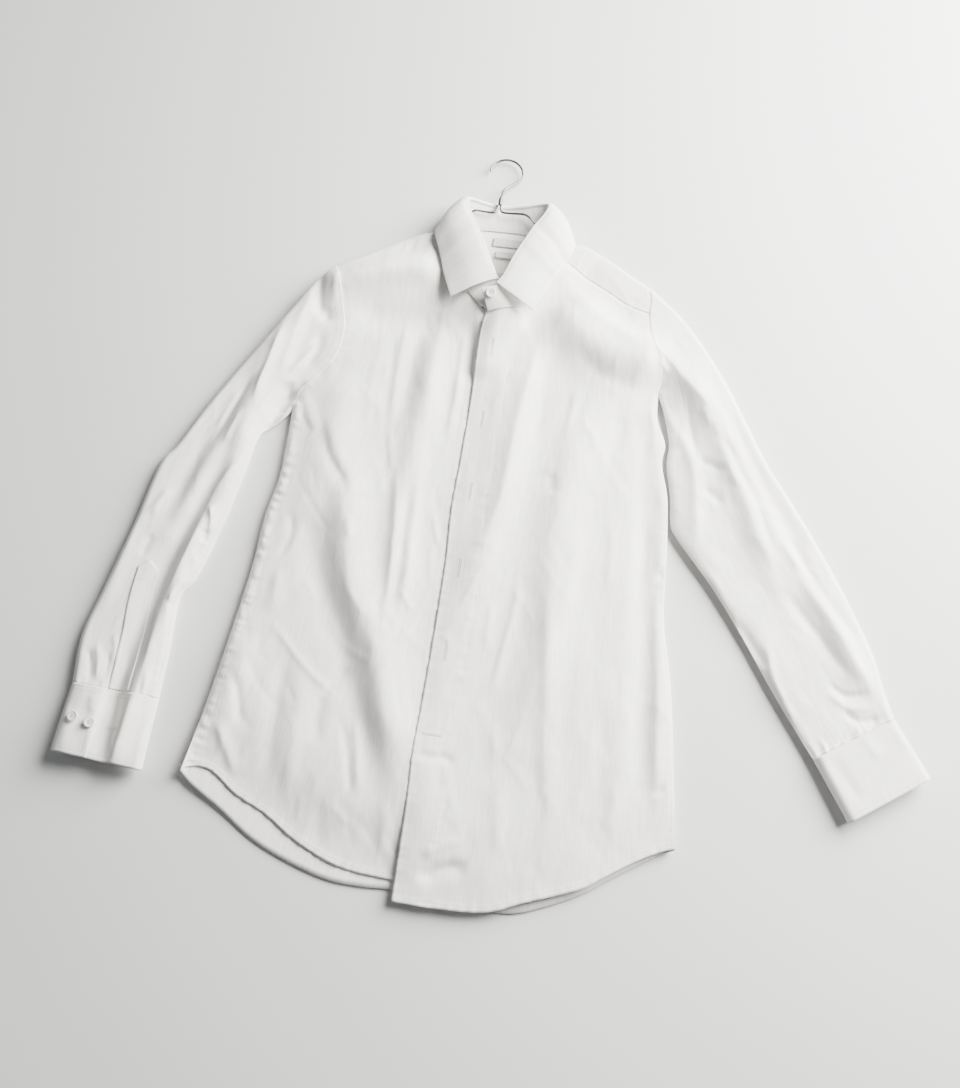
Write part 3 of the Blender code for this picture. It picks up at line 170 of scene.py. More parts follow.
# Creases that the cloth adds. A line that runs down the shirt has the lit side on its left.
# The columns are line, height, wide_left, wide_right, crisp.
CREASES_RIGHT_FRONT = [
    ([(-34, -98), (-84, -106), (-120, -114), (-150, -124), (-186, -140)], 7.0, 20, 32, 0.1),
    ([(-115, -64), (-118, -95), (-119, -122)], 0.9, 18, 10, 0.2),
    ([(-72, -58), (-75, -84)], 0.9, 6, 4, 0.3),
    ([(-86, -60), (-90, -82)], 1.0, 6, 4, 0.3),
    ([(-99, -63), (-103, -86)], 0.9, 6, 4, 0.3),
    ([(-44, -136), (-47, -200), (-48, -260), (-46, -310)], 3.2, 22, 15, 0.25),
    ([(-66, -145), (-69, -215), (-70, -292)], -1.4, 12, 14, 0.0),
    ([(-17, -165), (-18, -240), (-20, -312)], 2.2, 10, 6, 0.3),
    ([(-84, -148), (-87, -220), (-84, -306)], 1.8, 12, 7, 0.3),
    ([(-108, -170), (-112, -240), (-110, -300)], 1.4, 16, 12, 0.0),
    ([(-150, -305), (-135, -335), (-122, -360), (-118, -400), (-112, -420), (-105, -450), (-100, -480),
      (-88, -500), (-75, -515), (-62, -535), (-45, -600), (-12, -675)], 1.4, 24, 14, 0.2),
    ([(-162, -292), (-150, -330), (-142, -345), (-125, -368), (-117, -394)], -3.0, 9, 14, 0.4),
    ([(-75, -326), (-68, -360), (-63, -400), (-60, -440), (-58, -500), (-58, -545)], 2.2, 9, 7, 0.5),
    ([(-54, -340), (-52, -400), (-50, -470), (-50, -510)], -1.6, 8, 8, 0.2),
    ([(-43, -330), (-42, -400), (-41, -470), (-44, -520)], 1.8, 9, 8, 0.4),
    ([(-24, -384), (-18, -410), (-9, -432)], 1.2, 7, 5, 0.5),
    ([(-12, -150), (-7, -190), (-4, -240)], -3.5, 8, 16, 0.2),
    ([(-46, -478), (-29, -502)], 1.1, 6, 5, 0.5),
    ([(-174, -404), (-172, -436), (-181, -464)], -1.8, 7, 8, 0.4),
    ([(-112, -406), (-107, -434)], 1.4, 7, 6, 0.5),
    ([(-86, -296), (-80, -326), (-74, -352)], 1.0, 6, 5, 0.4),
    ([(-182, -526), (-160, -545), (-140, -565), (-120, -582), (-100, -595), (-86, -608)],
     1.3, 7, 6, 0.5),
    ([(-84, -566), (-98, -582), (-108, -602)], -2.2, 12, 10, 0.2),
    ([(-88, -616), (-78, -640), (-68, -680), (-62, -704)], -1.8, 7, 7, 0.4),
    ([(-74, -612), (-64, -650), (-57, -694)], 1.8, 8, 6, 0.5),
    ([(-152, -552), (-154, -620), (-150, -704)], -2.4, 14, 16, 0.0),
    ([(-133, -560), (-131, -630), (-128, -716)], 1.8, 14, 14, 0.0),
    ([(-108, -584), (-110, -620), (-106, -656)], -1.8, 11, 11, 0.0),
    ([(-206, -584), (-195, -610), (-187, -644)], -2.2, 8, 7, 0.5),
    ([(-214, -636), (-198, -664), (-182, -694)], 2.6, 12, 8, 0.4),
    ([(-180, -470), (-176, -500), (-182, -524)], 1.2, 12, 10, 0.1),
    ([(-30, -690), (-24, -730), (-26, -764)], 1.6, 12, 10, 0.1),
    ([(-96, -700), (-92, -735), (-94, -752)], -1.2, 12, 12, 0.0),
]
CREASES_LEFT_FRONT = [
    ([(70, -146), (58, -240), (52, -300), (48, -360), (40, -402), (34, -440)], 3.6, 22, 10, 0.5),
    ([(30, -180), (28, -260), (24, -340)], 1.2, 14, 12, 0.0),
    ([(116, -216), (113, -245), (107, -294)], 1.6, 9, 6, 0.4),
    ([(80, -190), (78, -230), (76, -300)], -1.8, 12, 14, 0.0),
    ([(82, -80), (95, -105), (128, -135), (168, -158), (200, -176)], 3.4, 16, 16, 0.3),
    ([(102, -172), (132, -200), (166, -213), (203, -214)], -2.4, 16, 14, 0.2),
    ([(119, -258), (138, -280), (141, -304)], 1.6, 8, 6, 0.6),
    ([(166, -242), (166, -270), (160, -304)], -1.8, 16, 16, 0.0),
    ([(197, -226), (204, -256), (206, -300)], 2.0, 10, 8, 0.3),
    ([(96, -326), (104, -356)], -2.0, 9, 9, 0.3),
    ([(112, -420), (112, -480), (118, -540), (124, -620), (136, -700), (132, -746)], 3.2, 20, 13, 0.3),
    ([(74, -430), (77, -470), (68, -540), (63, -590)], 1.8, 10, 6, 0.5),
    ([(52, -474), (51, -536)], 1.2, 8, 6, 0.4),
    ([(167, -364), (170, -400), (172, -464)], 1.5, 12, 7, 0.4),
    ([(206, -364), (205, -410), (204, -456)], -2.0, 12, 12, 0.1),
    ([(222, -422), (232, -428)], -2.2, 7, 7, 0.5),
    ([(137, -376), (131, -440), (126, -506)], 1.8, 15, 15, 0.0),
    ([(221, -428), (228, -500), (234, -560), (238, -620), (246, -692)], 3.6, 13, 9, 0.4),
    ([(250, -646), (238, -656)], -2.0, 6, 6, 0.4),
    ([(-6, -646), (12, -648), (26, -647), (38, -656)], -2.0, 7, 8, 0.4),
    ([(14, -746), (34, -732), (54, -720)], 2.2, 9, 10, 0.3),
    ([(12, -768), (40, -753), (64, -748)], -4.2, 10, 14, 0.2),
    ([(80, -650), (86, -700), (92, -740)], 1.6, 14, 12, 0.0),
    ([(176, -560), (182, -620), (180, -690)], -1.8, 18, 18, 0.0),
    ([(196, -640), (200, -690), (196, -726)], 1.4, 12, 10, 0.1),
    ([(150, -500), (154, -560), (150, -620)], 1.2, 16, 14, 0.0),
    ([(8, -186), (14, -206)], 0.7, 6, 5, 0.3),
    ([(2, -330), (12, -338)], 0.8, 6, 5, 0.3),
    ([(2, -520), (14, -528)], 0.8, 6, 5, 0.3),
]
CREASES_RIGHT_SLEEVE = [
    ([(-190, -112), (-189, -140), (-184, -176)], -4.6, 8, 9, 0.3),
    ([(-174, -112), (-171, -140), (-172, -164)], 1.8, 8, 8, 0.3),
    ([(-178, -160), (-176, -180)], -3.2, 11, 11, 0.2),
    ([(-178, -184), (-184, -218), (-192, -244)], -3.0, 12, 9, 0.3),
    ([(-179, -198), (-190, -222), (-209, -251)], 2.4, 7, 7, 0.6),
    ([(-190, -118), (-205, -180), (-212, -220), (-216, -262)], 2.0, 10, 9, 0.3),
    ([(-222, -186), (-230, -230), (-236, -262), (-238, -294)], 3.4, 9, 6, 0.7),
    ([(-234, -306), (-222, -276), (-206, -256), (-190, -256)], 3.4, 14, 5, 0.8),
    ([(-202, -256), (-205, -272), (-210, -298)], -4.5, 6, 16, 0.2),
    ([(-188, -260), (-180, -284), (-164, -322)], 1.4, 8, 7, 0.4),
    ([(-190, -278), (-181, -298), (-166, -318)], -0.8, 6, 6, 0.3),
    ([(-178, -272), (-170, -294), (-160, -316)], 0.8, 6, 6, 0.4),
    ([(-244, -246), (-262, -300), (-276, -344)], -2.6, 8, 9, 0.4),
    ([(-254, -266), (-268, -304), (-276, -334)], 2.4, 8, 8, 0.5),
    ([(-249, -298), (-256, -320), (-263, -344)], 1.4, 6, 5, 0.5),
    ([(-221, -288), (-226, -316), (-229, -342)], 1.8, 7, 6, 0.5),
    ([(-309, -396), (-318, -414), (-326, -434)], 1.8, 9, 9, 0.3),
    ([(-260, -362), (-280, -430), (-293, -480), (-298, -520), (-299, -580), (-301, -622)],
     -2.6, 7, 9, 0.0),
    ([(-224, -318), (-238, -353), (-258, -390), (-268, -429), (-276, -467), (-284, -497),
      (-289, -520), (-293, -545), (-294, -575), (-297, -622)], 3.2, 10, 6, 0.6),
    ([(-262, -412), (-257, -430), (-258, -446)], 3.4, 9, 5, 0.7),
    ([(-262, -440), (-262, -456)], -2.5, 6, 6, 0.4),
    ([(-271, -461), (-261, -498)], 1.5, 7, 6, 0.5),
    ([(-268, -496), (-276, -510), (-285, -526)], 3.8, 7, 6, 0.7),
    ([(-271, -514), (-282, -534)], -2.8, 6, 6, 0.3),
    ([(-274, -520), (-273, -560), (-274, -604)], 1.8, 9, 8, 0.2),
    ([(-327, -506), (-310, -506)], -0.8, 5, 5, 0.3),
    ([(-360, -580), (-352, -600), (-350, -618)], -1.8, 6, 6, 0.4),
    ([(-350, -574), (-344, -596), (-342, -618)], 1.8, 6, 5, 0.5),
    ([(-338, -580), (-334, -600), (-335, -618)], -1.4, 5, 5, 0.5),
    ([(-336, -562), (-330, -580), (-330, -596)], 1.2, 6, 5, 0.5),
    ([(-310, -596), (-309, -618)], 1.2, 5, 5, 0.5),
    ([(-290, -596), (-289, -620)], 1.2, 5, 5, 0.5),
    ([(-336, -440), (-346, -500), (-354, -552)], 1.6, 12, 10, 0.2),
    ([(-318, -450), (-326, -480)], -1.4, 9, 9, 0.2),
]
CREASES_LEFT_SLEEVE = [
    ([(178, -154), (210, -176), (230, -199), (255, -222), (272, -244)], 3.4, 14, 10, 0.5),
    ([(200, -180), (214, -196)], 2.0, 7, 6, 0.4),
    ([(252, -228), (266, -254)], 2.0, 8, 7, 0.4),
    ([(282, -284), (302, -324)], 1.8, 8, 7, 0.4),
    ([(236, -216), (245, -256), (256, -294)], -2.0, 7, 8, 0.5),
    ([(211, -234), (236, -268), (250, -300), (258, -360), (262, -404)], 2.8, 12, 10, 0.4),
    ([(252, -288), (286, -302)], -2.6, 8, 8, 0.4),
    ([(262, -320), (286, -340)], -2.4, 8, 8, 0.4),
    ([(270, -236), (285, -270), (300, -300), (320, -330), (335, -370), (357, -404)],
     -3.8, 11, 10, 0.4),
    ([(358, -366), (382, -404)], -2.2, 8, 7, 0.4),
    ([(348, -370), (372, -406)], 2.2, 8, 7, 0.5),
    ([(362, -376), (400, -430), (420, -455), (444, -478)], -2.4, 9, 9, 0.3),
    ([(360, -398), (390, -435), (410, -460), (430, -490), (450, -520), (468, -546)],
     3.0, 13, 10, 0.4),
    ([(348, -418), (370, -442), (395, -472), (420, -502), (444, -526)], -3.0, 10, 11, 0.3),
    ([(403, -516), (425, -530), (452, -524)], -2.6, 6, 7, 0.6),
    ([(418, -544), (440, -555), (467, -546)], -2.4, 6, 6, 0.6),
    ([(404, -528), (430, -543), (456, -538)], 1.8, 7, 6, 0.5),
    ([(338, -476), (350, -520), (365, -550), (380, -584)], 2.8, 8, 8, 0.5),
    ([(306, -462), (326, -488), (346, -516)], -2.8, 9, 9, 0.3),
    ([(268, -410), (290, -444), (310, -478)], 1.6, 12, 10, 0.2),
    ([(408, -578), (404, -595)], 1.4, 5, 4, 0.5),
    ([(424, -570), (420, -586)], -1.4, 5, 4, 0.5),
    ([(440, -560), (436, -578)], 1.4, 5, 4, 0.5),
    ([(456, -548), (452, -568)], -1.2, 5, 4, 0.5),
    ([(290, -230), (322, -286), (344, -326)], 1.4, 12, 10, 0.1),
]


def smooth_path(points, steps=12):
    """Points along a centripetal curve through the given ones."""
    p = np.array(points, float)
    if len(p) == 2:
        return p
    ends = np.vstack([2 * p[0] - p[1], p, 2 * p[-1] - p[-2]])
    out = [p[0]]
    for a, b, c, d in zip(ends, ends[1:], ends[2:], ends[3:]):
        t0 = 0.0
        t1 = t0 + max(np.linalg.norm(b - a), 1e-9) ** 0.5
        t2 = t1 + max(np.linalg.norm(c - b), 1e-9) ** 0.5
        t3 = t2 + max(np.linalg.norm(d - c), 1e-9) ** 0.5
        for t in np.linspace(t1, t2, steps + 1)[1:]:
            ab = ((t1 - t) * a + (t - t0) * b) / (t1 - t0)
            bc = ((t2 - t) * b + (t - t1) * c) / (t2 - t1)
            cd = ((t3 - t) * c + (t - t2) * d) / (t3 - t2)
            abc = ((t2 - t) * ab + (t - t0) * bc) / (t2 - t0)
            bcd = ((t3 - t) * bc + (t - t1) * cd) / (t3 - t1)
            out.append(((t2 - t) * abc + (t - t1) * bcd) / (t2 - t1))
    return np.array(out)


def shares(points):
    """How far along its length each point of a line lies, from 0 to 1."""
    run = np.concatenate([[0.0], np.cumsum(np.linalg.norm(np.diff(points, axis=0), axis=1))])
    return run / run[-1]


def along(path, fractions):
    """The points of a line at the given shares of its length, from 0 to 1."""
    at = shares(path)
    return np.stack([np.interp(fractions, at, path[:, k]) for k in range(path.shape[1])], axis=1)


def part_of(path, start, end):
    """The stretch of a line between two shares of its length."""
    at = shares(path)
    inner = at[(at > min(start, end)) & (at < max(start, end))]
    piece = along(path, np.concatenate([[min(start, end)], inner, [max(start, end)]]))
    return piece if start < end else piece[::-1]


def length_of(path):
    """The length of a line."""
    return float(np.linalg.norm(np.diff(path, axis=0), axis=1).sum())


def distance_to(xy, path):
    """Distance to a line, the share of its length where it is nearest, and the lean to its left."""
    flat = xy.reshape(-1, 2)
    at, step = shares(path), np.diff(path, axis=0)
    best = np.full(len(flat), 1e9)
    share, lean = np.zeros(len(flat)), np.zeros(len(flat))
    for start, move, low, high in zip(path, step, at, at[1:]):
        off = flat - start
        k = np.clip((off @ move) / (move @ move), 0, 1)
        off = off - k[:, None] * move
        d = np.sqrt(off[:, 0] ** 2 + off[:, 1] ** 2)
        nearer = d < best
        best[nearer] = d[nearer]
        share[nearer] = (low + (high - low) * k)[nearer]
        cross = (move[0] * off[:, 1] - move[1] * off[:, 0]) / (np.linalg.norm(move) * d + 1e-6)
        lean[nearer] = cross[nearer]
    shape = xy.shape[:-1]
    return best.reshape(shape), share.reshape(shape), lean.reshape(shape)


def soft_step(x):
    """Rises smoothly from 0 to 1 while x does, and stays there."""
    x = np.clip(x, 0, 1)
    return x * x * (3 - 2 * x)


def fold_sum(xy, folds, end=FOLD_END, fade=FOLD_FADE):
    """The height that a table of folds or creases adds."""
    total = np.zeros(xy.shape[:-1])
    for line, height, wide_left, wide_right, crisp in folds:
        reach = 2.2 * max(wide_left, wide_right)
        near = ((xy > line.min(0) - reach) & (xy < line.max(0) + reach)).all(-1)
        if not near.any():
            continue
        d, share, lean = distance_to(xy[near], line)
        t = d / (((1 + lean) * wide_left + (1 - lean) * wide_right) / 2)
        ends = end + (1 - end) * soft_step(share / fade) * soft_step((1 - share) / fade)
        soft = np.exp(-(t / FOLD_SPREAD) ** 2)
        pinched = np.clip(1 - t / 1.4, 0, 1) ** 2
        total[near] += height * ends * ((1 - crisp) * soft + crisp * pinched)
    return total


def fold_lines(rows, steps=5):
    """The rows of a table with their lines smoothed, and soft where they don't say how crisp."""
    return [(smooth_path(row[0], steps), *row[1:4], row[4] if len(row) > 4 else 0.0) for row in rows]


def split_path(first, second, steps=8):
    """Two lines that meet, smoothed as one and parted again where they meet."""
    path = smooth_path(first + second[1:], steps)
    at = (len(first) - 1) * steps
    return path[:at + 1], path[at:]


SHOULDER_RIGHT_LINE, OUTER_RIGHT_LINE = split_path(SHOULDER_RIGHT[::-1], SLEEVE_RIGHT_OUTER)
SHOULDER_LEFT_LINE, OUTER_LEFT_LINE = split_path(SHOULDER_LEFT[::-1], SLEEVE_LEFT_OUTER)
SIDE_RIGHT_LINE, SIDE_LEFT_LINE = smooth_path(SIDE_RIGHT, 8), smooth_path(SIDE_LEFT, 8)
INNER_RIGHT_LINE = smooth_path(SLEEVE_RIGHT_INNER, 8)
INNER_LEFT_LINE = smooth_path(SLEEVE_LEFT_INNER, 8)
ARM_RIGHT_LINE, ARM_LEFT_LINE = smooth_path(ARMHOLE_RIGHT), smooth_path(ARMHOLE_LEFT)
ARM_RIGHT_BACK = part_of(ARM_RIGHT_LINE, YOKE_BACK_SEAM_RIGHT, 1.0)
ARM_RIGHT_YOKE = part_of(ARM_RIGHT_LINE, YOKE_BACK_SEAM_RIGHT, 0.0)
ARM_LEFT_FRONT = part_of(ARM_LEFT_LINE, YOKE_FRONT_SEAM_END, 1.0)
ARM_LEFT_STRIP = part_of(ARM_LEFT_LINE, 0.0, YOKE_FRONT_SEAM_END)
ARM_LEFT_BACK = part_of(ARM_LEFT_LINE, YOKE_BACK_SEAM_LEFT, 1.0)
ARM_LEFT_YOKE = part_of(ARM_LEFT_LINE, YOKE_BACK_SEAM_LEFT, 0.0)
YOKE_FRONT_LINE = smooth_path(YOKE_FRONT_SEAM + [tuple(ARM_LEFT_STRIP[-1])])
YOKE_BACK_LINE = smooth_path([tuple(ARM_RIGHT_YOKE[0])] + YOKE_BACK_SEAM + [tuple(ARM_LEFT_YOKE[0])])
NECK_RIGHT_LINE, NECK_LEFT_LINE = smooth_path(NECK_RIGHT), smooth_path(NECK_LEFT)
NECK_BACK_LINE, NECK_BACK_COARSE = smooth_path(NECK_BACK), smooth_path(NECK_BACK, 4)
EDGE_RIGHT_LINE, LAP_LINE = smooth_path(FRONT_EDGE_RIGHT), smooth_path(LAP_EDGE)
HEM_RIGHT_LINE, HEM_LEFT_LINE = smooth_path(HEM_FRONT_RIGHT), smooth_path(HEM_FRONT_LEFT)
HEM_BACK_LINE, HEM_BACK_COARSE = smooth_path(HEM_BACK), smooth_path(HEM_BACK, 4)
# Of each side: its armhole, its sleeve's two edges, and its cuff's seam and mouth
SIDES = {side: (arm, outer, inner, np.array([outer[-1], inner[-1]]), np.array(mouth, float))
         for side, arm, outer, inner, mouth in (
             ("right", ARM_RIGHT_LINE, OUTER_RIGHT_LINE, INNER_RIGHT_LINE, CUFF_RIGHT_MOUTH),
             ("left", ARM_LEFT_LINE, OUTER_LEFT_LINE, INNER_LEFT_LINE, CUFF_LEFT_MOUTH))}
RIMS = [SIDE_RIGHT_LINE, SIDE_LEFT_LINE, SHOULDER_RIGHT_LINE, SHOULDER_LEFT_LINE]
for _, outer_edge, inner_edge, _, end in SIDES.values():
    RIMS += [np.vstack([outer_edge, end[0]]), np.vstack([inner_edge, end[1]])]
ALL_FOLDS = fold_lines(BODY_FOLDS) + fold_lines(SLEEVE_FOLDS)
PANEL_FOLDS = {"front_right": fold_lines(UNDER_LAP_FOLDS), "front_left": fold_lines(LAP_FOLDS)}

# Where a panel's edge lies down: the edge, its reach, its share and its height above the layer below
LIE_DOWN = {
    "front_right": [(HEM_RIGHT_LINE, 46, 0.92, 1.6), (smooth_path(SIDE_RIGHT), 30, 0.3, 6.0)],
    "front_left": [(HEM_LEFT_LINE, 46, 0.8, 6.0), (LAP_LINE, 13, 0.16, 0.0),
                   (smooth_path(SIDE_LEFT), 30, 0.35, 5.0)],
    "sleeve_left": [(smooth_path(SLEEVE_LEFT_INNER), 28, 0.5, 5.0)],
}


def rim_distance(xy):
    """How far each point lies from the nearest rolled edge, as far as the roll reaches."""
    best = np.full(xy.shape[:-1], 2 * EDGE_ROLL)
    for rim in RIMS:
        near = ((xy > rim.min(0) - best.max()) & (xy < rim.max(0) + best.max())).all(-1)
        if near.any():
            best[near] = np.minimum(best[near], distance_to(xy[near], rim)[0])
    return best


def raw_lower(xy):
    """The lower layer's underside: flat, but lifted at the collar, the hem and the cuffs."""
    collar = LEAF_ROOM * (1 - soft_step((distance_to(xy, NECK_BACK_COARSE)[0] - 26) / 24))
    hem = HEM_LIFT * (1 - soft_step(distance_to(xy, HEM_BACK_COARSE)[0] / HEM_LIFT_REACH))
    cuffs = sum(CUFF_LIFT * (1 - soft_step(distance_to(xy, mouth)[0] / CUFF_LIFT_REACH))
                for *_, mouth in SIDES.values())
    return collar + hem + cuffs


def surface(xy, layer, creases=(), added=0.0):
    """Outer height of the 'lower' layer, or of the upper layer on the named panel."""
    low = raw_lower(xy)
    shared = PUFF + low * 0.8 + fold_sum(xy, ALL_FOLDS)
    roll = 1 - (1 - np.clip(rim_distance(xy) / EDGE_ROLL, 0, 1)) ** ROLL_SHARPNESS
    middle = (low + shared) / 2
    if layer == "lower":
        return middle - (middle - low) * roll
    high = shared + fold_sum(xy, PANEL_FOLDS.get(layer, []))
    for line, reach, share, rest in LIE_DOWN.get(layer, []):
        near = share * np.exp(-(distance_to(xy, line)[0] / reach) ** 2)
        high = high + (np.minimum(high, low + rest) - high) * near
    high = np.maximum(high + fold_sum(xy, creases, 0.0, CREASE_FADE) + added, low + LAYER_GAP)
    return middle + (high - middle) * roll


def crumple(seed, region, count, strength=1.0):
    """Small random creases in a region, which is given as its two corners and their main way."""
    draw = np.random.default_rng(seed)
    low, high = np.array(region[0], float), np.array(region[1], float)
    lean = np.array(region[2], float) / np.linalg.norm(region[2])
    rows = []
    for _ in range(count):
        start = low + draw.random(2) * (high - low)
        turn = draw.normal(0.0, 0.5)
        way = np.array([lean[0] * math.cos(turn) - lean[1] * math.sin(turn),
                        lean[0] * math.sin(turn) + lean[1] * math.cos(turn)])
        long = draw.uniform(24, 90)
        bow = np.array([-way[1], way[0]]) * draw.normal(0.0, 0.07) * long
        line = [start, start + way * long / 2 + bow, start + way * long]
        height = draw.uniform(0.25, 0.85) * (1 if draw.random() < 0.6 else -1) * strength
        wide = draw.uniform(4.0, 9.0)
        rows.append((line, height, wide * draw.uniform(1.0, 1.6), wide, draw.uniform(0.1, 0.7)))
    return fold_lines(rows, 3)


def ripples(seed, count=64):
    """A smooth random wave of a share from 0 to 1, with `count` bumps."""
    values = np.random.default_rng(seed).normal(0.0, 1.0, count * 2)
    return lambda share: np.interp(share * (len(values) - 1), np.arange(len(values)), values)


def pucker(xy, line, reach, height, seed):
    """The little gathers that sewing leaves beside a seam."""
    d, share, _ = distance_to(xy, line)
    return height * np.exp(-(d / reach) ** 2) * ripples(seed, int(length_of(line) / 7))(share)


def band(xy, line, start, end, rise):
    """A strip beside a line that stands proud, from `start` to `end` millimetres to its left."""
    d, _, lean = distance_to(xy, line)
    aside = d * np.sign(lean)
    edge = 0.7
    return rise * soft_step((aside - start) / edge + 0.5) * soft_step((end - aside) / edge + 0.5)


def border(legs, at):
    """Points of a border made of legs, each a line and its number of coarse steps."""
    out, start = np.empty((len(at), 2)), 0.0
    for path, steps in legs:
        inside = (at >= start - 1e-9) & (at <= start + steps + 1e-9)
        out[inside] = along(path, (at[inside] - start) / steps)
        start += steps
    return out


def coons(sides, s, t):
    """The net between four borders before it is relaxed."""
    bottom, top, left, right = sides
    bottom[0], bottom[-1], top[0], top[-1] = left[0], right[0], left[-1], right[-1]
    s, t = s[:, None, None], t[None, :, None]
    corners = ((1 - s) * (1 - t) * bottom[0] + s * (1 - t) * bottom[-1]
               + (1 - s) * t * top[0] + s * t * top[-1])
    return (1 - t) * bottom[:, None] + t * top[:, None] + (1 - s) * left[None] + s * right[None] - corners


def relaxed(plan):
    """The same net after its inner points have settled evenly between the borders."""
    plan = plan.copy()
    for _ in range(RELAX_ROUNDS):
        along_u = (plan[2:, 1:-1] - plan[:-2, 1:-1]) / 2
        along_v = (plan[1:-1, 2:] - plan[1:-1, :-2]) / 2
        twist = (plan[2:, 2:] - plan[2:, :-2] - plan[:-2, 2:] + plan[:-2, :-2]) / 4
        g_u = (along_v ** 2).sum(-1, keepdims=True)
        g_v = (along_u ** 2).sum(-1, keepdims=True)
        g_uv = 2 * (along_u * along_v).sum(-1, keepdims=True)
        pulled = (g_u * (plan[:-2, 1:-1] + plan[2:, 1:-1])
                  + g_v * (plan[1:-1, :-2] + plan[1:-1, 2:]) - g_uv * twist)
        plan[1:-1, 1:-1] += 0.6 * (pulled / (2 * (g_u + g_v)) - plan[1:-1, 1:-1])
    return plan


def cubic_weights(at, count):
    """Weights that read a smooth curve through `count` + 1 values at the given places."""
    base = np.clip(at.astype(int), 0, count - 1)
    f = at - base
    parts = ((-f + 2 * f ** 2 - f ** 3) / 2, (2 - 5 * f ** 2 + 3 * f ** 3) / 2,
             (f + 4 * f ** 2 - 3 * f ** 3) / 2, (f ** 3 - f ** 2) / 2)
    weights = np.zeros((len(at), count + 1))
    for k, part in zip((-1, 0, 1, 2), parts):
        np.add.at(weights, (np.arange(len(at)), np.clip(base + k, 0, count)), part)
    return weights


def places(legs, spacing, rim_start=False, rim_end=False):
    """Where the fine points of a border lie, in coarse steps, closer together at a rolled edge."""
    close = np.array([0.0, 0.4, 1.1, 2.1, 3.4, 5.0, 6.9, 9.0])
    out, start = [], 0.0
    for number, (path, steps) in enumerate(legs):
        size = length_of(path)
        low = close if rim_start and number == 0 else close[:1]
        high = close if rim_end and number == len(legs) - 1 else close[:1]
        count = max(2, round((size - low[-1] - high[-1]) / spacing))
        inner = np.linspace(low[-1], size - high[-1], count + 1)[1:-1]
        at = np.concatenate([low, inner, size - high[::-1]]) / size
        out.append(start + at[:-1] * steps)
        start += steps
    return np.concatenate(out + [[start]])


def fine_net(sides, u, v):
    """A fine net at the given places, relaxed coarsely and smoothed between."""
    across, upward = sum(n for _, n in sides[0]), sum(n for _, n in sides[2])
    steps = [np.arange(across + 1.0)] * 2 + [np.arange(upward + 1.0)] * 2
    rough = coons([border(legs, at) for legs, at in zip(sides, steps)],
                  steps[0] / across, steps[2] / upward)
    moved = relaxed(rough) - rough
    fine = coons([border(legs, at) for legs, at in zip(sides, (u, u, v, v))], u / across, v / upward)
    return fine + np.einsum("ai,ijk,bj->abk", cubic_weights(u, across), moved, cubic_weights(v, upward))


def to_world(points):
    """Lay points in millimetres as points of the world in metres."""
    return (np.asarray(points, float) - (*LAY_CENTRE, 0.0)) * MM


def linked(name, data):
    """A new object of the scene."""
    obj = bpy.data.objects.new(name, data)
    bpy.context.scene.collection.objects.link(obj)
    return obj


def new_mesh(name, points, faces, uvs):
    """A smooth object from lay points and faces, with the cloth's own flat coordinates as a UV map."""
    mesh = bpy.data.meshes.new(name)
    mesh.from_pydata(to_world(points).tolist(), [], faces)
    layer = mesh.uv_layers.new(name="cut")
    corners = np.empty(len(mesh.loops), np.int64)
    mesh.loops.foreach_get("vertex_index", corners)
    layer.data.foreach_set("uv", (uvs[corners] * MM).astype(np.float32).ravel())
    mesh.shade_smooth()
    return linked(name, mesh)


def grid_faces(index, flip=False):
    """The four-cornered cells of a grid of point numbers."""
    a, b, c, d = index[:-1, :-1], index[1:, :-1], index[1:, 1:], index[:-1, 1:]
    cells = np.stack([a, d, c, b] if flip else [a, b, c, d], axis=-1)
    return cells.reshape(-1, 4).tolist()


def flat_places(points):
    """Flat coordinates of a net in millimetres: how far along the cloth each point lies."""
    across = np.linalg.norm(np.diff(points, axis=0), axis=-1).mean(axis=1)
    upward = np.linalg.norm(np.diff(points, axis=1), axis=-1).mean(axis=0)
    u = np.concatenate([[0.0], np.cumsum(across)])
    v = np.concatenate([[0.0], np.cumsum(upward)])
    return np.stack(np.meshgrid(u, v, indexing="ij"), axis=-1)


def normals(net):
    """The way each point of a net faces, not yet of unit length."""
    return np.cross(np.gradient(net, axis=0), np.gradient(net, axis=1))


def faces(net, layer):
    """Whether a net faces outward on its layer: up on the upper one, and down on the lower one."""
    return (normals(net)[..., 2].sum() > 0) == (layer == "upper")


def numbers(points, start=0):
    """The point numbers of a net."""
    return start + np.arange(points[..., 0].size).reshape(points.shape[:2])


def net_object(name, points, flip=False):
    """An object from a net of lay points."""
    return new_mesh(name, points.reshape(-1, 3), grid_faces(numbers(points), flip),
                    flat_places(points).reshape(-1, 2))


def add_wall(obj, thick, offset=-1.0):
    """Gives a sheet its thickness, on the inner side of its faces if the offset isn't given."""
    wall = obj.modifiers.new("wall", "SOLIDIFY")
    wall.thickness, wall.offset = thick, offset
    return obj


def dress(obj, material, slot, *nodes):
    """Gives a piece its finish, the body it rides on and the solids it stands for. Its slot is not used."""
    obj.data.materials.clear()
    obj.data.materials.append(material)
    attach(obj, "root")
    if nodes:
        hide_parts(*nodes)
    return obj


def finished_mesh(bm, name):
    """The smooth mesh of a working mesh, which is let go."""
    mesh = bpy.data.meshes.new(name)
    bm.to_mesh(mesh)
    bm.free()
    mesh.shade_smooth()
    return mesh


def round_about(count):
    """Directions all round, each as its cosine and sine."""
    return [(math.cos(a), math.sin(a)) for a in np.linspace(0, math.tau, count, endpoint=False)]


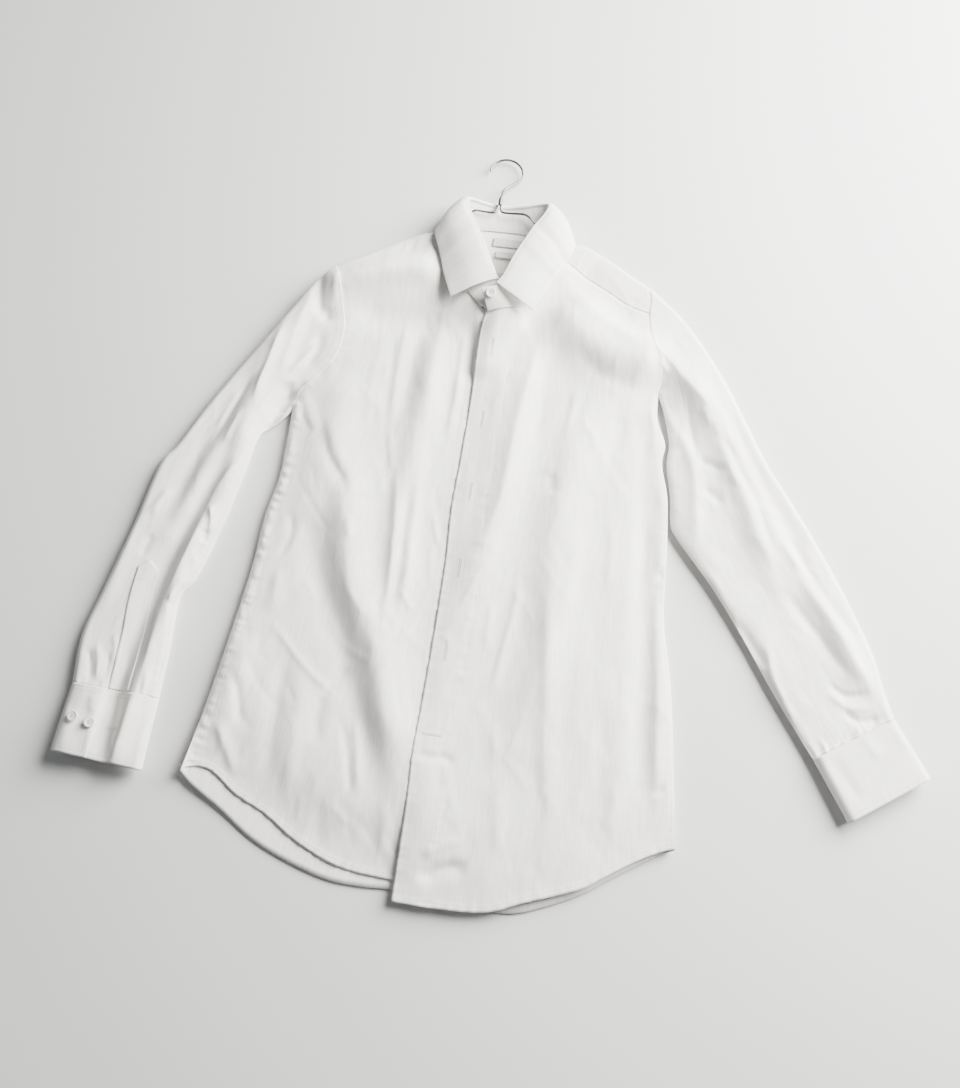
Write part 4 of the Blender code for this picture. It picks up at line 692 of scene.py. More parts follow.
def close_rings(bm, rings):
    """Joins a row of equal rings into a bar with closed ends."""
    for one, two in zip(rings, rings[1:]):
        for k in range(len(one)):
            m = (k + 1) % len(one)
            bm.faces.new([one[k], one[m], two[m], two[k]])
    bm.faces.new(rings[0][::-1])
    bm.faces.new(rings[-1])


def group_tree(name, inputs, outputs):
    """A shader group with named sockets: its tree, what it is given and what it puts out."""
    tree = bpy.data.node_groups.new(name, "ShaderNodeTree")
    tree.interface.new_socket("Vector", in_out="INPUT", socket_type="NodeSocketVector")
    for socket, value in inputs:
        made = tree.interface.new_socket(socket, in_out="INPUT", socket_type="NodeSocketFloat")
        made.default_value = value
    for socket in outputs:
        tree.interface.new_socket(socket, in_out="OUTPUT", socket_type="NodeSocketFloat")
    return tree, tree.nodes.new("NodeGroupInput").outputs, tree.nodes.new("NodeGroupOutput").inputs


def fed_node(tree, kind, *values, **named):
    """A node fed by sockets or numbers, in the order of its inputs or by their names."""
    node = tree.nodes.new("ShaderNode" + kind)
    pairs = list(zip(node.inputs, values)) + [(node.inputs[name], named[name]) for name in named]
    for socket, value in pairs:
        if isinstance(value, bpy.types.NodeSocket):
            tree.links.new(value, socket)
        else:
            socket.default_value = value
    return node


def calculated(tree, operation, *values):
    """What a Math node makes of its values."""
    node = fed_node(tree, "Math", *values)
    node.operation = operation
    return node.outputs[0]


def weave_group():
    """Plain weave of warp and weft threads, with uneven yarn: its height and a fine mask of slubs."""
    tree, given, out = group_tree("weave", [("Thread", 0.0003), ("Slub", 0.3)], ["Height", "Slubs"])
    apart = fed_node(tree, "SeparateXYZ", given["Vector"])
    turns = calculated(tree, "DIVIDE", math.pi, given["Thread"])
    warp, weft = (calculated(tree, "SINE", calculated(tree, "MULTIPLY", apart.outputs[axis], turns))
                  for axis in ("X", "Y"))
    checker = calculated(tree, "MULTIPLY", warp, weft)
    stretch = fed_node(tree, "Mapping", Vector=given["Vector"], Scale=(1.0, 0.09, 1.0))
    slub = fed_node(tree, "TexNoise", Vector=stretch.outputs[0], Scale=420.0, Detail=2.0)
    raised = calculated(tree, "MULTIPLY", slub.outputs[0], given["Slub"])
    tree.links.new(calculated(tree, "MULTIPLY_ADD", checker, 0.5, raised), out["Height"])
    tree.links.new(slub.outputs[0], out["Slubs"])
    return tree


def wrinkle_group():
    """Small soft wrinkles that are too fine for the mesh, as a height, and a cloudy mask."""
    tree, given, out = group_tree("wrinkles", [("Scale", 60.0)], ["Height", "Cloud"])
    stretch = fed_node(tree, "Mapping", Vector=given["Vector"], Scale=(1.0, 0.42, 1.0))
    folds = fed_node(tree, "TexNoise", Vector=stretch.outputs[0], Scale=given["Scale"], Detail=3.0,
                     Roughness=0.45, Distortion=0.6)
    cloud = fed_node(tree, "TexNoise", Vector=given["Vector"], Scale=9.0, Detail=2.0)
    tree.links.new(folds.outputs[0], out["Height"])
    tree.links.new(cloud.outputs[0], out["Cloud"])
    return tree


def shared_group(material, name, make, vector, **values):
    """What one use of a group in a material puts out, with its own values. The group is built once."""
    node = material.node_tree.nodes.new("ShaderNodeGroup")
    node.node_tree = bpy.data.node_groups.get(name) or make()
    material.node_tree.links.new(vector, node.inputs["Vector"])
    for socket, value in values.items():
        node.inputs[socket].default_value = value
    return node.outputs


def blank_material(name, roughness, **sockets):
    """A material, its shader's inputs and its tree."""
    material = bpy.data.materials.new(name)
    material.use_nodes = True
    shader = material.node_tree.nodes["Principled BSDF"].inputs
    shader["Roughness"].default_value = roughness
    for socket, value in sockets.items():
        shader[socket.replace("_", " ")].default_value = value
    return material, shader, material.node_tree


def mottle(tree, shader, mask, colour, darkest):
    """A colour that wanders with a mask down to a share of itself."""
    ramp = tree.nodes.new("ShaderNodeValToRGB")
    for end, place, share in zip(ramp.color_ramp.elements, (0.3, 0.7), (darkest, 1.0)):
        end.position, end.color = place, (*(c * share for c in colour), 1.0)
    tree.links.new(mask, ramp.inputs[0])
    tree.links.new(ramp.outputs[0], shader["Base Color"])


def object_noise(tree, **values):
    """Noise that lies still on the object."""
    place = tree.nodes.new("ShaderNodeTexCoord")
    return fed_node(tree, "TexNoise", Vector=place.outputs["Object"], **values).outputs[0]


def cloth_material(name, colour, thread, wrinkle_depth):
    """Woven cotton: threads and slubs, small soft wrinkles and a faint uneven tint."""
    material, shader, tree = blank_material(name, 0.86, Sheen_Weight=0.12, Sheen_Roughness=0.6,
                                            Specular_IOR_Level=0.25)
    cut = tree.nodes.new("ShaderNodeUVMap")
    cut.uv_map = "cut"
    weave = shared_group(material, "weave", weave_group, cut.outputs[0], Thread=thread)
    folds = shared_group(material, "wrinkles", wrinkle_group, cut.outputs[0])
    streaks = calculated(tree, "MULTIPLY_ADD", weave["Slubs"], 1.2, -0.6)
    mottle(tree, shader, calculated(tree, "ADD", folds["Cloud"], streaks), colour, 0.88)
    rough = calculated(tree, "MULTIPLY_ADD", weave["Slubs"], 0.1, 0.8)
    tree.links.new(rough, shader["Roughness"])
    deep = fed_node(tree, "Bump", Distance=wrinkle_depth, Height=folds["Height"])
    fine = fed_node(tree, "Bump", Strength=0.35, Distance=thread * 0.25, Height=weave["Height"],
                    Normal=deep.outputs[0])
    tree.links.new(fine.outputs[0], shader["Normal"])
    return material


def thread_material(name, colour):
    """Twisted cotton sewing thread."""
    material, shader, tree = blank_material(name, 0.7, Sheen_Weight=0.2)
    twist = object_noise(tree, Scale=900.0)
    mottle(tree, shader, twist, colour, 0.9)
    bump = fed_node(tree, "Bump", Distance=0.00008, Height=twist)
    tree.links.new(bump.outputs[0], shader["Normal"])
    return material


def button_material(name, colour):
    """Pale pearly resin with faint clouds."""
    material, shader, tree = blank_material(name, 0.3, Coat_Weight=0.35, Coat_Roughness=0.12)
    pearl = object_noise(tree, Scale=260.0, Distortion=1.6)
    mottle(tree, shader, pearl, colour, 0.86)
    tree.links.new(calculated(tree, "MULTIPLY_ADD", pearl, 0.18, 0.22), shader["Roughness"])
    return material


def wire_material(name, colour):
    """Satin steel wire with fine drawing lines and a little tarnish."""
    material, shader, tree = blank_material(name, 0.32, Metallic=1.0)
    tarnish = object_noise(tree, Scale=140.0, Detail=5.0)
    mottle(tree, shader, tarnish, colour, 0.72)
    tree.links.new(calculated(tree, "MULTIPLY_ADD", tarnish, 0.3, 0.18), shader["Roughness"])
    bump = fed_node(tree, "Bump", Strength=0.3, Distance=0.00006, Height=tarnish)
    tree.links.new(bump.outputs[0], shader["Normal"])
    return material


def finish_of(kind):
    """The material of a kind of piece, made once."""
    name = "finish_" + kind
    if name in bpy.data.materials:
        return bpy.data.materials[name]
    look = bpy.context.scene.shirt_look
    make, colour, *sizes = {
        # the stitches' thread is grey as painted shade of the stitches and their puckers; the thread itself
        # is as white as the cloth
        "thread": (thread_material, look.stitch_shade_colour),
        "binding": (thread_material, look.cloth_colour),
        "button": (button_material, look.button_colour),
        "wire": (wire_material, look.wire_colour),
        "label": (cloth_material, look.label_colour, 0.00045, 0.0001),
        "poplin": (cloth_material, look.cloth_colour, look.thread_width, look.wrinkle_depth),
        "fused": (cloth_material, look.cloth_colour, look.thread_width, look.wrinkle_depth * 0.4),
    }[kind]
    return make(name, tuple(colour), *sizes)


# Coarse steps of the borders, as the panels of the solids have them
SIDE_STEPS, ARMHOLE_STEPS, ARMHOLE_LEFT_STEPS, BACK_ARM_STEPS = 17, 13, 8, 6
YOKE_ROWS, STRIP_ROWS, SHOULDER_STEPS, YOKE_SEAM_STEPS = 6, 5, 8, 9
NECK_STEPS_RIGHT, NECK_STEPS_BACK, NECK_STEPS_LEFT, SLEEVE_STEPS = 8, 8, 7, 16
BACK_COARSER = 1.5

# Sewing: how far each turned edge reaches, and how much its extra layers raise the cloth
HEM_WIDE, FACING_WIDE, FELL_WIDE = 5.5, 34.0, 9.0
LAYER_RISE, SEAM_RISE = 0.4, 0.3

# Everything that is drawn on the panels later looks up its height here
HEIGHTS = {}


def height_on(names, points, below=False):
    """Height in millimetres of the highest (or lowest) of the named pieces at each plan point."""
    start, down = (-0.05, Vector((0, 0, 1))) if below else (0.15, Vector((0, 0, -1)))
    out = []
    for x, y in points:
        wx, wy, _ = to_world((x, y, 0.0))
        hits = [HEIGHTS[n].ray_cast(Vector((wx, wy, start)), down)[0] for n in names]
        found = [h.z / MM for h in hits if h]
        out.append((min(found) if below else max(found)) if found else np.nan)
    z = np.array(out)
    known = ~np.isnan(z)
    if known.any() and not known.all():
        z = np.interp(np.arange(len(z)), np.arange(len(z))[known], z[known])
    return z


def panel_nets(spacing):
    """The fine plan net of each panel."""
    side_right, side_left = (SIDE_RIGHT_LINE, SIDE_STEPS), (SIDE_LEFT_LINE, SIDE_STEPS)
    shoulder = (SHOULDER_RIGHT_LINE[::-1], SHOULDER_STEPS)
    seam = (SHOULDER_LEFT_LINE, YOKE_SEAM_STEPS)
    nets = {}

    legs = [side_right, (ARM_RIGHT_LINE[::-1], ARMHOLE_STEPS)]
    top = [shoulder, (NECK_RIGHT_LINE, NECK_STEPS_RIGHT)]
    nets["front_right"] = fine_net(
        ([(HEM_RIGHT_LINE, SHOULDER_STEPS + NECK_STEPS_RIGHT)], top, legs,
         [(EDGE_RIGHT_LINE, SIDE_STEPS + ARMHOLE_STEPS)]),
        places(top, spacing, rim_start=True), places(legs, spacing, rim_end=True))

    legs = [side_left, (ARM_LEFT_FRONT[::-1], ARMHOLE_LEFT_STEPS)]
    top = [(NECK_LEFT_LINE[::-1], NECK_STEPS_LEFT), (YOKE_FRONT_LINE, YOKE_SEAM_STEPS)]
    nets["front_left"] = fine_net(
        ([(HEM_LEFT_LINE, NECK_STEPS_LEFT + YOKE_SEAM_STEPS)], top,
         [(LAP_LINE, SIDE_STEPS + ARMHOLE_LEFT_STEPS)], legs),
        places(top, spacing, rim_end=True), places(legs, spacing))

    count = SHOULDER_STEPS + NECK_STEPS_BACK + YOKE_SEAM_STEPS
    legs = [side_right, (ARM_RIGHT_BACK[::-1], BACK_ARM_STEPS)]
    hem, coarse = [(HEM_BACK_LINE, count)], spacing * BACK_COARSER
    nets["back"] = fine_net(
        (hem, [(YOKE_BACK_LINE, count)], legs, [side_left, (ARM_LEFT_BACK[::-1], BACK_ARM_STEPS)]),
        places(hem, coarse, True, True), places(legs, coarse))

    top, arm = [shoulder, (NECK_BACK_LINE, NECK_STEPS_BACK), seam], [(ARM_RIGHT_YOKE, YOKE_ROWS)]
    u = places(top, spacing, True, True)
    nets["yoke"] = fine_net(([(YOKE_BACK_LINE, count)], top, arm, [(ARM_LEFT_YOKE, YOKE_ROWS)]),
                            u, places(arm, spacing, rim_end=True))

    first = SHOULDER_STEPS + NECK_STEPS_BACK
    strip_u = u[u >= first - 1e-9] - first
    strip_u[0] = 0.0
    inner = np.array([SHOULDER_LEFT_LINE[0], YOKE_FRONT_LINE[0]])
    arm = [(ARM_LEFT_STRIP, STRIP_ROWS)]
    nets["yoke_strip"] = fine_net(
        ([seam], [(YOKE_FRONT_LINE, YOKE_SEAM_STEPS)], [(inner, STRIP_ROWS)], arm),
        strip_u, places(arm, spacing, rim_start=True))

    back_steps = BACK_ARM_STEPS + 1
    for side, layer, coarser, *start in (
            ("right", "upper", 0.9, (ARM_RIGHT_LINE, ARMHOLE_STEPS)),
            ("right", "lower", 1.4, (ARM_RIGHT_YOKE[::-1], YOKE_ROWS), (ARM_RIGHT_BACK, back_steps)),
            ("left", "upper", 0.9, (ARM_LEFT_STRIP, STRIP_ROWS), (ARM_LEFT_FRONT, ARMHOLE_LEFT_STEPS)),
            ("left", "lower", 1.4, (ARM_LEFT_YOKE[::-1], YOKE_ROWS), (ARM_LEFT_BACK, back_steps))):
        armhole, outer, inner, end, _ = SIDES[side]
        count = sum(n for _, n in start)
        nets[f"sleeve_{side}_{layer}"] = fine_net(
            (start, [(end, count)], [(outer, SLEEVE_STEPS)], [(inner, SLEEVE_STEPS)]),
            places([(armhole, count)], spacing * coarser, True, True),
            places([(outer, SLEEVE_STEPS)], spacing))
    return nets


# Gathers beside the seams of a panel: the seam's line, their reach and height, and the seed
PUCKERS = {
    "yoke": [(YOKE_FRONT_LINE, 6.0, 0.2, 14)],
    "front_left": [(YOKE_FRONT_LINE, 6.0, 0.2, 14), (HEM_LEFT_LINE, 7.0, 0.45, 11),
                   (LAP_LINE, 7.0, 0.35, 12), (LAP_LINE + (FACING_WIDE, 0.0), 6.0, 0.25, 13),
                   (SIDE_LEFT_LINE, 12.0, 0.3, 16)],
    "front_right": [(HEM_RIGHT_LINE, 7.0, 0.45, 11), (SIDE_RIGHT_LINE, 11.0, 0.6, 18),
                    (SIDE_RIGHT_LINE + (6.0, 0.0), 4.0, 0.7, 19)],
}
for side, (_, _, sleeve_edge, cuff_seam, _) in SIDES.items():
    PUCKERS["sleeve_" + side] = [(cuff_seam, 15.0, 0.6, 20), (sleeve_edge, 10.0, 0.35, 21)]
# Strips of a panel with more layers: the edge's line, where the strip starts and ends, and its rise
STRIPS = {
    "front_left": [(HEM_LEFT_LINE, -1.0, HEM_WIDE, LAYER_RISE),
                   (LAP_LINE[::-1], -1.0, FACING_WIDE, LAYER_RISE)],
    "front_right": [(HEM_RIGHT_LINE, -1.0, HEM_WIDE, LAYER_RISE),
                    (EDGE_RIGHT_LINE, -1.0, FACING_WIDE, LAYER_RISE),
                    (SIDE_RIGHT_LINE, -FELL_WIDE, 0.0, SEAM_RISE)],
}


def added_height(name, xy, look):
    """What the seams, hems and gathers add to a panel's height."""
    arm = SIDES[SIDE_OF[name]][0]
    total = pucker(xy, arm, 8.0, 0.3, 15)
    total += sum(pucker(xy, *row) for row in PUCKERS[name])
    total += sum(band(xy, *row) for row in STRIPS.get(name, []))
    if name.startswith("sleeve"):
        total += 0.5 * SEAM_RISE * soft_step((FELL_WIDE - distance_to(xy, arm)[0]) / 2.0 + 0.5)
    return total * look.seam_strength


# The panels of one side share their creases, so that their edges meet along the seams
SIDE_OF = {"front_right": "right", "sleeve_right": "right", "front_left": "left",
           "sleeve_left": "left", "yoke": "left"}
CREASES = {"right": CREASES_RIGHT_FRONT + CREASES_RIGHT_SLEEVE,
           "left": CREASES_LEFT_FRONT + CREASES_LEFT_SLEEVE}
# Where the small random creases fall: seed, lower corner, upper corner, main way, number
CRUMPLES = {
    "right": ((31, (-215, -740), (0, -110), (0.1, -1.0), 120),
              (33, (-360, -600), (-190, -130), (-0.4, -1.0), 70)),
    "left": ((32, (20, -770), (240, -120), (0.05, -1.0), 115),
             (34, (200, -570), (460, -130), (0.7, -1.0), 80),
             (35, (80, -110), (180, -60), (1.0, -0.6), 8)),
}


def creases_of(name, look):
    """A panel's placed creases and its small random ones."""
    side = SIDE_OF[name]
    rows = fold_lines(CREASES[side])
    rows = [(line, height * look.crease_strength, *rest) for line, height, *rest in rows]
    for seed, low, high, way, count in CRUMPLES[side]:
        rows += crumple(seed + look.crumple_seed, (low, high, way), count, look.crumple_strength)
    return rows


def cloth_piece(obj, finish, node, cut, held, *under):
    """Dresses a sheet of cloth and keeps its heights for what lies on it. Its cut is not used."""
    dress(obj, finish_of(finish), "cloth", node)
    bm = bmesh.new()
    bm.from_mesh(obj.data)
    HEIGHTS[node] = BVHTree.FromBMesh(bm)
    bm.free()


def sheet_points(plan, name, layer, look):
    """The points of a panel's outer sheet."""
    if layer == "lower":
        z = surface(plan, "lower")
    else:
        z = surface(plan, name, creases_of(name, look), added_height(name, plan, look))
    return np.concatenate([plan, z[..., None]], axis=-1)


def single_panel(name, plan, layer, look):
    """A panel that is one sheet."""
    points = sheet_points(plan, name, layer, look)
    return net_object("cloth_" + name, points, not faces(points, layer))


def joined_panel(name, upper, lower, look):
    """Two sheets that meet at rolled edges, made one mesh."""
    verts, cells, uvs, start = [], [], [], 0
    for plan, layer in ((upper, "upper"), (lower, "lower")):
        points = sheet_points(plan, name, layer, look)
        cells += grid_faces(numbers(points, start), not faces(points, layer))
        verts.append(points.reshape(-1, 3))
        uvs.append(flat_places(points).reshape(-1, 2))
        start += len(verts[-1])
    obj = new_mesh("cloth_" + name, np.vstack(verts), cells, np.vstack(uvs))
    bm = bmesh.new()
    bm.from_mesh(obj.data)
    bmesh.ops.remove_doubles(bm, verts=bm.verts, dist=0.00002)
    bm.to_mesh(obj.data)
    bm.free()
    return obj


class SHIRT_OT_body(bpy.types.Operator):
    """Makes the back, the yoke and both fronts"""
    bl_idname = "shirt.body"
    bl_label = "Body panels"

    def execute(self, context):
        look = context.scene.shirt_look
        nets = panel_nets(look.spacing / MM)
        for name, upper, lower, under, *cut in PANELS:
            if upper in nets and lower in nets:
                obj = joined_panel(name, nets[upper], nets[lower], look)
            else:
                obj = single_panel(name, nets[name], "upper" if upper else "lower", look)
            cloth_piece(add_wall(obj, look.thickness), "poplin", name, cut, "laid", under)
        return {"FINISHED"}


# Each panel: its upper and lower net, what it rests on, and its flat cut in metres as it shows
PANELS = [("back", None, "back", None, 0.455, 0.632),
          ("front_right", "front_right", None, "cloth_back", 0.240, 0.643),
          ("front_left", "front_left", None, "cloth_front_right", 0.250, 0.652),
          ("yoke", "yoke_strip", "yoke", "cloth_back", 0.355, 0.075),
          ("sleeve_right", "sleeve_right_upper", "sleeve_right_lower", "cloth_yoke", 0.200, 0.482),
          ("sleeve_left", "sleeve_left_upper", "sleeve_left_lower", "cloth_yoke", 0.235, 0.492)]


# Cuffs, as the solids have them
CUFF_OVER_END, CUFF_UNDER_END, CUFF_LAP_RISE = 0.42, 0.26, 2.9
CUFF_PROUD, CUFF_ROWS = 0.4, 34
CUFF_ROLL = (0.0, 0.6, 1.4, 2.6, 4.2, 6.0, 8.0)
CUFF_CREASES = fold_lines([
    ([(-366, -640), (-360, -668), (-362, -696)], 1.4, 10, 8, 0.2),
    ([(-320, -616), (-317, -650), (-316, -704)], -8.0, 10, 12, 0.2),
    ([(-298, -616), (-301, -650), (-307, -704)], 5.0, 16, 7, 0.6),
    ([(-334, -616), (-334, -650), (-331, -704)], 2.0, 7, 9, 0.4),
    ([(-272, -630), (-269, -660), (-274, -700)], -1.4, 9, 9, 0.1),
    ([(-340, -628), (-338, -650)], 1.2, 8, 7, 0.3),
    ([(440, -566), (462, -592)], 1.2, 9, 8, 0.3),
    ([(410, -590), (432, -622), (448, -640)], -1.4, 10, 10, 0.2),
    ([(470, -552), (488, -580)], 1.0, 10, 8, 0.2),
])


def cuff_stations(width):
    """The cuff's band from its button end, round both edges, to the end that lies below it."""
    roll = np.array(CUFF_ROLL) / width
    over = list(np.linspace(CUFF_OVER_END, roll[-1], 16)[:-1]) + list(roll[:0:-1])
    far = np.concatenate([roll, np.linspace(roll[-1], 1 - roll[-1], 26)[1:-1], 1 - roll[::-1]])
    near = list(1 - roll[1:]) + list(np.linspace(1 - roll[-1], CUFF_UNDER_END, 26)[1:])
    return [(f, "over") for f in over] + [(f, "far") for f in far] + [(f, "near") for f in near]


def make_cuff(side, look):
    """A cuff. The right one opens on top, the left one underneath."""
    right = side == "right"
    *_, start, mouth = SIDES[side]
    near_layer, far_layer = ("upper", "lower") if right else ("lower", "upper")
    stations = cuff_stations(float(np.linalg.norm(start[0] - start[1])))
    kinds = np.array([kind for _, kind in stations])
    share = np.array([f for f, _ in stations])[:, None]
    a = start[0] + (start[1] - start[0]) * share[..., None]
    c = mouth[0] + (mouth[1] - mouth[0]) * share[..., None]
    plan = a + np.linspace(0, 1, CUFF_ROWS)[None, :, None] * (c - a)
    z = np.zeros(plan.shape[:2])
    for kind, layer in (("over", near_layer), ("far", far_layer), ("near", near_layer)):
        mine = kinds == kind
        out = 1 if layer == "upper" else -1
        z[mine] = surface(plan[mine], layer, CUFF_CREASES if layer == "upper" else ())
        z[mine] += out * CUFF_PROUD * (1 - np.abs(2 * share[mine] - 1) ** 8)
        if kind == "over":
            z[mine] += out * CUFF_LAP_RISE * soft_step(share[mine] / 0.2)
    points = np.concatenate([plan, z[..., None]], axis=-1)
    obj = net_object(f"cloth_cuff_{side}", points, not faces(points[kinds == "far"], far_layer))
    return add_wall(obj, look.cuff_thickness)


# Collar: one row for each station, from the wearer's right end round the back to the left end.
# The columns are neck_seam, fold, leaf_turn, leaf_middle and leaf_edge, as in the solids.
COLLAR_REST, COLLAR_HALF, COLLAR_STEPS, COLLAR_LIFT, COLLAR_TUCK = 0.9, 0.8, 10, 1.7, (1.8, 3.0)
STAND_ROWS, STAND_BOW, LEAF_WAVE = 18, 0.6, 0.5
COLLAR = [
    ((13, -154), (20, -128, 29)),
    ((-14, -134), (10, -113, 37), (5, -115, 40), (-13, -124, 40), (-39, -137, 32)),
    ((-30, -109), (-6, -81, 40), (-11, -84, 43), (-27, -94, 41), (-50, -110, 30)),
    ((-46, -82), (-24, -44, 38), (-29, -47, 41), (-43, -60, 39), (-60, -79, 28)),
    ((-56, -57), (-37, -18, 34), (-42, -20, 37), (-56, -33, 34), (-69, -53, 23)),
    ((-50, -43), (-36, -8, 29), (-41, -3, 24), (-55, -11, 9), (-65, -36, 4.8)),
    ((-24, -34), (-18, -5, 19), (-19, 1, 10), (-22, -9, 2.5), (-24, -48, 1.7)),
    ((6, -32), (4, -5, 13), (4, 1, 7.5), (4, -9, 2.5), (5, -50, 1.7)),
    ((38, -33), (30, -4, 19), (32, 2, 10), (34, -8, 2.5), (36, -48, 1.7)),
    ((71, -42), (57, -4, 29), (62, 0, 24), (78, -10, 9), (86, -34, 4.8)),
    ((84, -58), (57, -18, 36), (62, -20, 39), (78, -32, 36), (93, -52, 25)),
    ((80, -82), (44, -45, 41), (49, -49, 44), (64, -61, 43), (84, -82, 33)),
    ((62, -113), (29, -80, 43), (34, -84, 46), (50, -96, 45), (71, -110, 37)),
    ((34, -141), (12, -122, 45), (17, -126, 48), (34, -136, 47), (55, -148, 41)),
    ((5, -151), (-6, -128, 44)),
]


def collar_line(k):
    """A smooth line through the stations that have a point in this column."""
    return smooth_path([station[k] for station in COLLAR if len(station) > k], COLLAR_STEPS)


def resting_on(names, line, spread):
    """The highest point of some pieces round each point of a line, smoothed along it."""
    around = [(0, 0), (spread, 0), (-spread, 0), (0, spread), (0, -spread)]
    z = np.max([height_on(names, line + offset) for offset in around], axis=0)
    for _ in range(6):
        z[1:-1] = (z[:-2] + 2 * z[1:-1] + z[2:]) / 4
    return z


def collar_points():
    """The nets of the stand and the leaf, through the middle of their cloth."""
    base = collar_line(0)
    middle = len(base) // 2
    z = np.concatenate([resting_on(["front_right", "yoke"], base[:middle], 2.5),
                        resting_on(["front_left", "yoke"], base[middle:], 2.5)])
    seam = np.column_stack([base, z + COLLAR_REST + COLLAR_HALF])
    fold = collar_line(1)
    up = np.linspace(0, 0.97, STAND_ROWS)[None, :, None]
    bow = np.sin(math.pi * up) * np.array([0.0, 0.0, STAND_BOW])
    stand = seam[:, None] + (fold - seam)[:, None] * up + bow
    start = fold[COLLAR_STEPS:-COLLAR_STEPS] + (0.0, 0.0, COLLAR_LIFT)
    turn = collar_line(2)
    # the leaf begins on the inner side of the stand, so that no gap shows at the fold
    outward = turn - start
    outward[:, 2] = 0.0
    outward /= np.linalg.norm(outward, axis=1)[:, None]
    tucked = start - COLLAR_TUCK[0] * outward - (0.0, 0.0, COLLAR_TUCK[1])
    over = start - 0.9 * outward - (0.0, 0.0, 0.3)
    lines = zip(tucked, over, start + 0.6 * outward, turn, collar_line(3), collar_line(4))
    leaf = np.array([smooth_path(np.array(rows), 8) for rows in lines])
    share = np.linspace(0, 1, len(leaf))[:, None]
    across = np.linspace(0, 1, leaf.shape[1])[None]
    raised = (leaf[..., 2] > 12) * soft_step(across * 1.6 - 0.4)
    leaf[..., 2] += LEAF_WAVE * ripples(51, 26)(share) * raised
    return stand, leaf


class SHIRT_OT_collar(bpy.types.Operator):
    """Makes the collar's stand and its leaf"""
    bl_idname = "shirt.collar"
    bl_label = "Collar"

    def execute(self, context):
        look = context.scene.shirt_look
        for name, points, cut in zip(("stand", "leaf"), collar_points(), COLLAR_CUTS):
            obj = add_wall(net_object(f"cloth_collar_{name}", points), look.collar_thickness, 0.0)
            bevel = obj.modifiers.new("softened edges", "BEVEL")
            bevel.width, bevel.segments = look.collar_thickness * 0.32, 2
            bevel.limit_method, bevel.angle_limit = "ANGLE", math.radians(60)
            cloth_piece(obj, "fused", f"collar_{name}", cut, "folded", "cloth_yoke")
        return {"FINISHED"}


COLLAR_CUTS = ((0.340, 0.045), (0.360, 0.064))

# Placket strips beside the sleeves' slits
PLACKET_RIGHT_EDGE = smooth_path([(-326, -490), (-328, -524), (-327, -571), (-328, -622)])
PLACKET_LEFT_ENDS = np.array([(433.0, -568.0), (399.0, -508.0)])
PLACKET_WIDTH, PLACKET_POINT, PLACKET_CLEARANCE = 22.0, 10.0, 0.9


def make_placket(side, look):
    """A stitched strip on the sleeve; the right one ends in a point, the left one is hidden below."""
    right, sleeve = side == "right", [f"sleeve_{side}"]
    if right:
        edge, way = along(PLACKET_RIGHT_EDGE, np.linspace(0, 1, 58)), np.array([1.0, 0.0])
    else:
        step = PLACKET_LEFT_ENDS[1] - PLACKET_LEFT_ENDS[0]
        way = np.array([step[1], -step[0]]) / np.linalg.norm(step)
        edge = PLACKET_LEFT_ENDS[0] + np.linspace(0, 1, 34)[:, None] * step - way * PLACKET_WIDTH / 2
    across, steps = np.linspace(0, 1, 12)[:, None], np.arange(len(edge))
    plan = edge + across[..., None] * PLACKET_WIDTH * way
    if right:
        plan[..., 1] += PLACKET_POINT * (1 - np.abs(2 * across - 1)) * np.clip(1 - steps / 14, 0, 1)
        z = np.array([resting_on(sleeve, column, 1.0) for column in plan])
        z += PLACKET_CLEARANCE * np.clip(steps[::-1] / 6, 0.12, 1.0) * (1 - 0.8 * across)
    else:
        z = np.array([height_on(sleeve, column, below=True) for column in plan]) - 0.5
    points = np.concatenate([plan, z[..., None]], axis=-1)
    flip = not faces(points, "upper" if right else "lower")
    return add_wall(net_object(f"cloth_placket_{side}", points, flip), look.thickness)


class SHIRT_OT_cuffs(bpy.types.Operator):
    """Makes both cuffs and the plackets above them"""
    bl_idname = "shirt.cuffs"
    bl_label = "Cuffs and plackets"

    def execute(self, context):
        look = context.scene.shirt_look
        for side, placket_cut in PLACKET_CUTS.items():
            sleeve = f"cloth_sleeve_{side}"
            cloth_piece(make_cuff(side, look), "fused", f"cuff_{side}", CUFF_CUT, "folded", sleeve)
            cloth_piece(make_placket(side, look), "poplin", f"placket_{side}", placket_cut, "laid",
                        sleeve)
        return {"FINISHED"}


CUFF_CUT = (0.212, 0.074)
PLACKET_CUTS = {"right": (PLACKET_WIDTH * MM, 0.135), "left": (PLACKET_WIDTH * MM, 0.069)}

# Buttons, at their middle: each point of the profile is a radius and a height
HOLE_RADIUS, HOLE_ASIDE = 0.75 * MM, 1.55 / math.sqrt(2) * MM
BUTTON_PROFILE = [(0.0, 0.62), (2.6, 0.62), (3.3, 0.72), (3.9, 1.0), (4.5, 1.1), (5.1, 0.98),
                  (5.5, 0.45), (5.45, -0.5), (5.0, -0.95), (4.2, -1.1), (0.0, -1.1)]
BUTTON_TURNS = 40


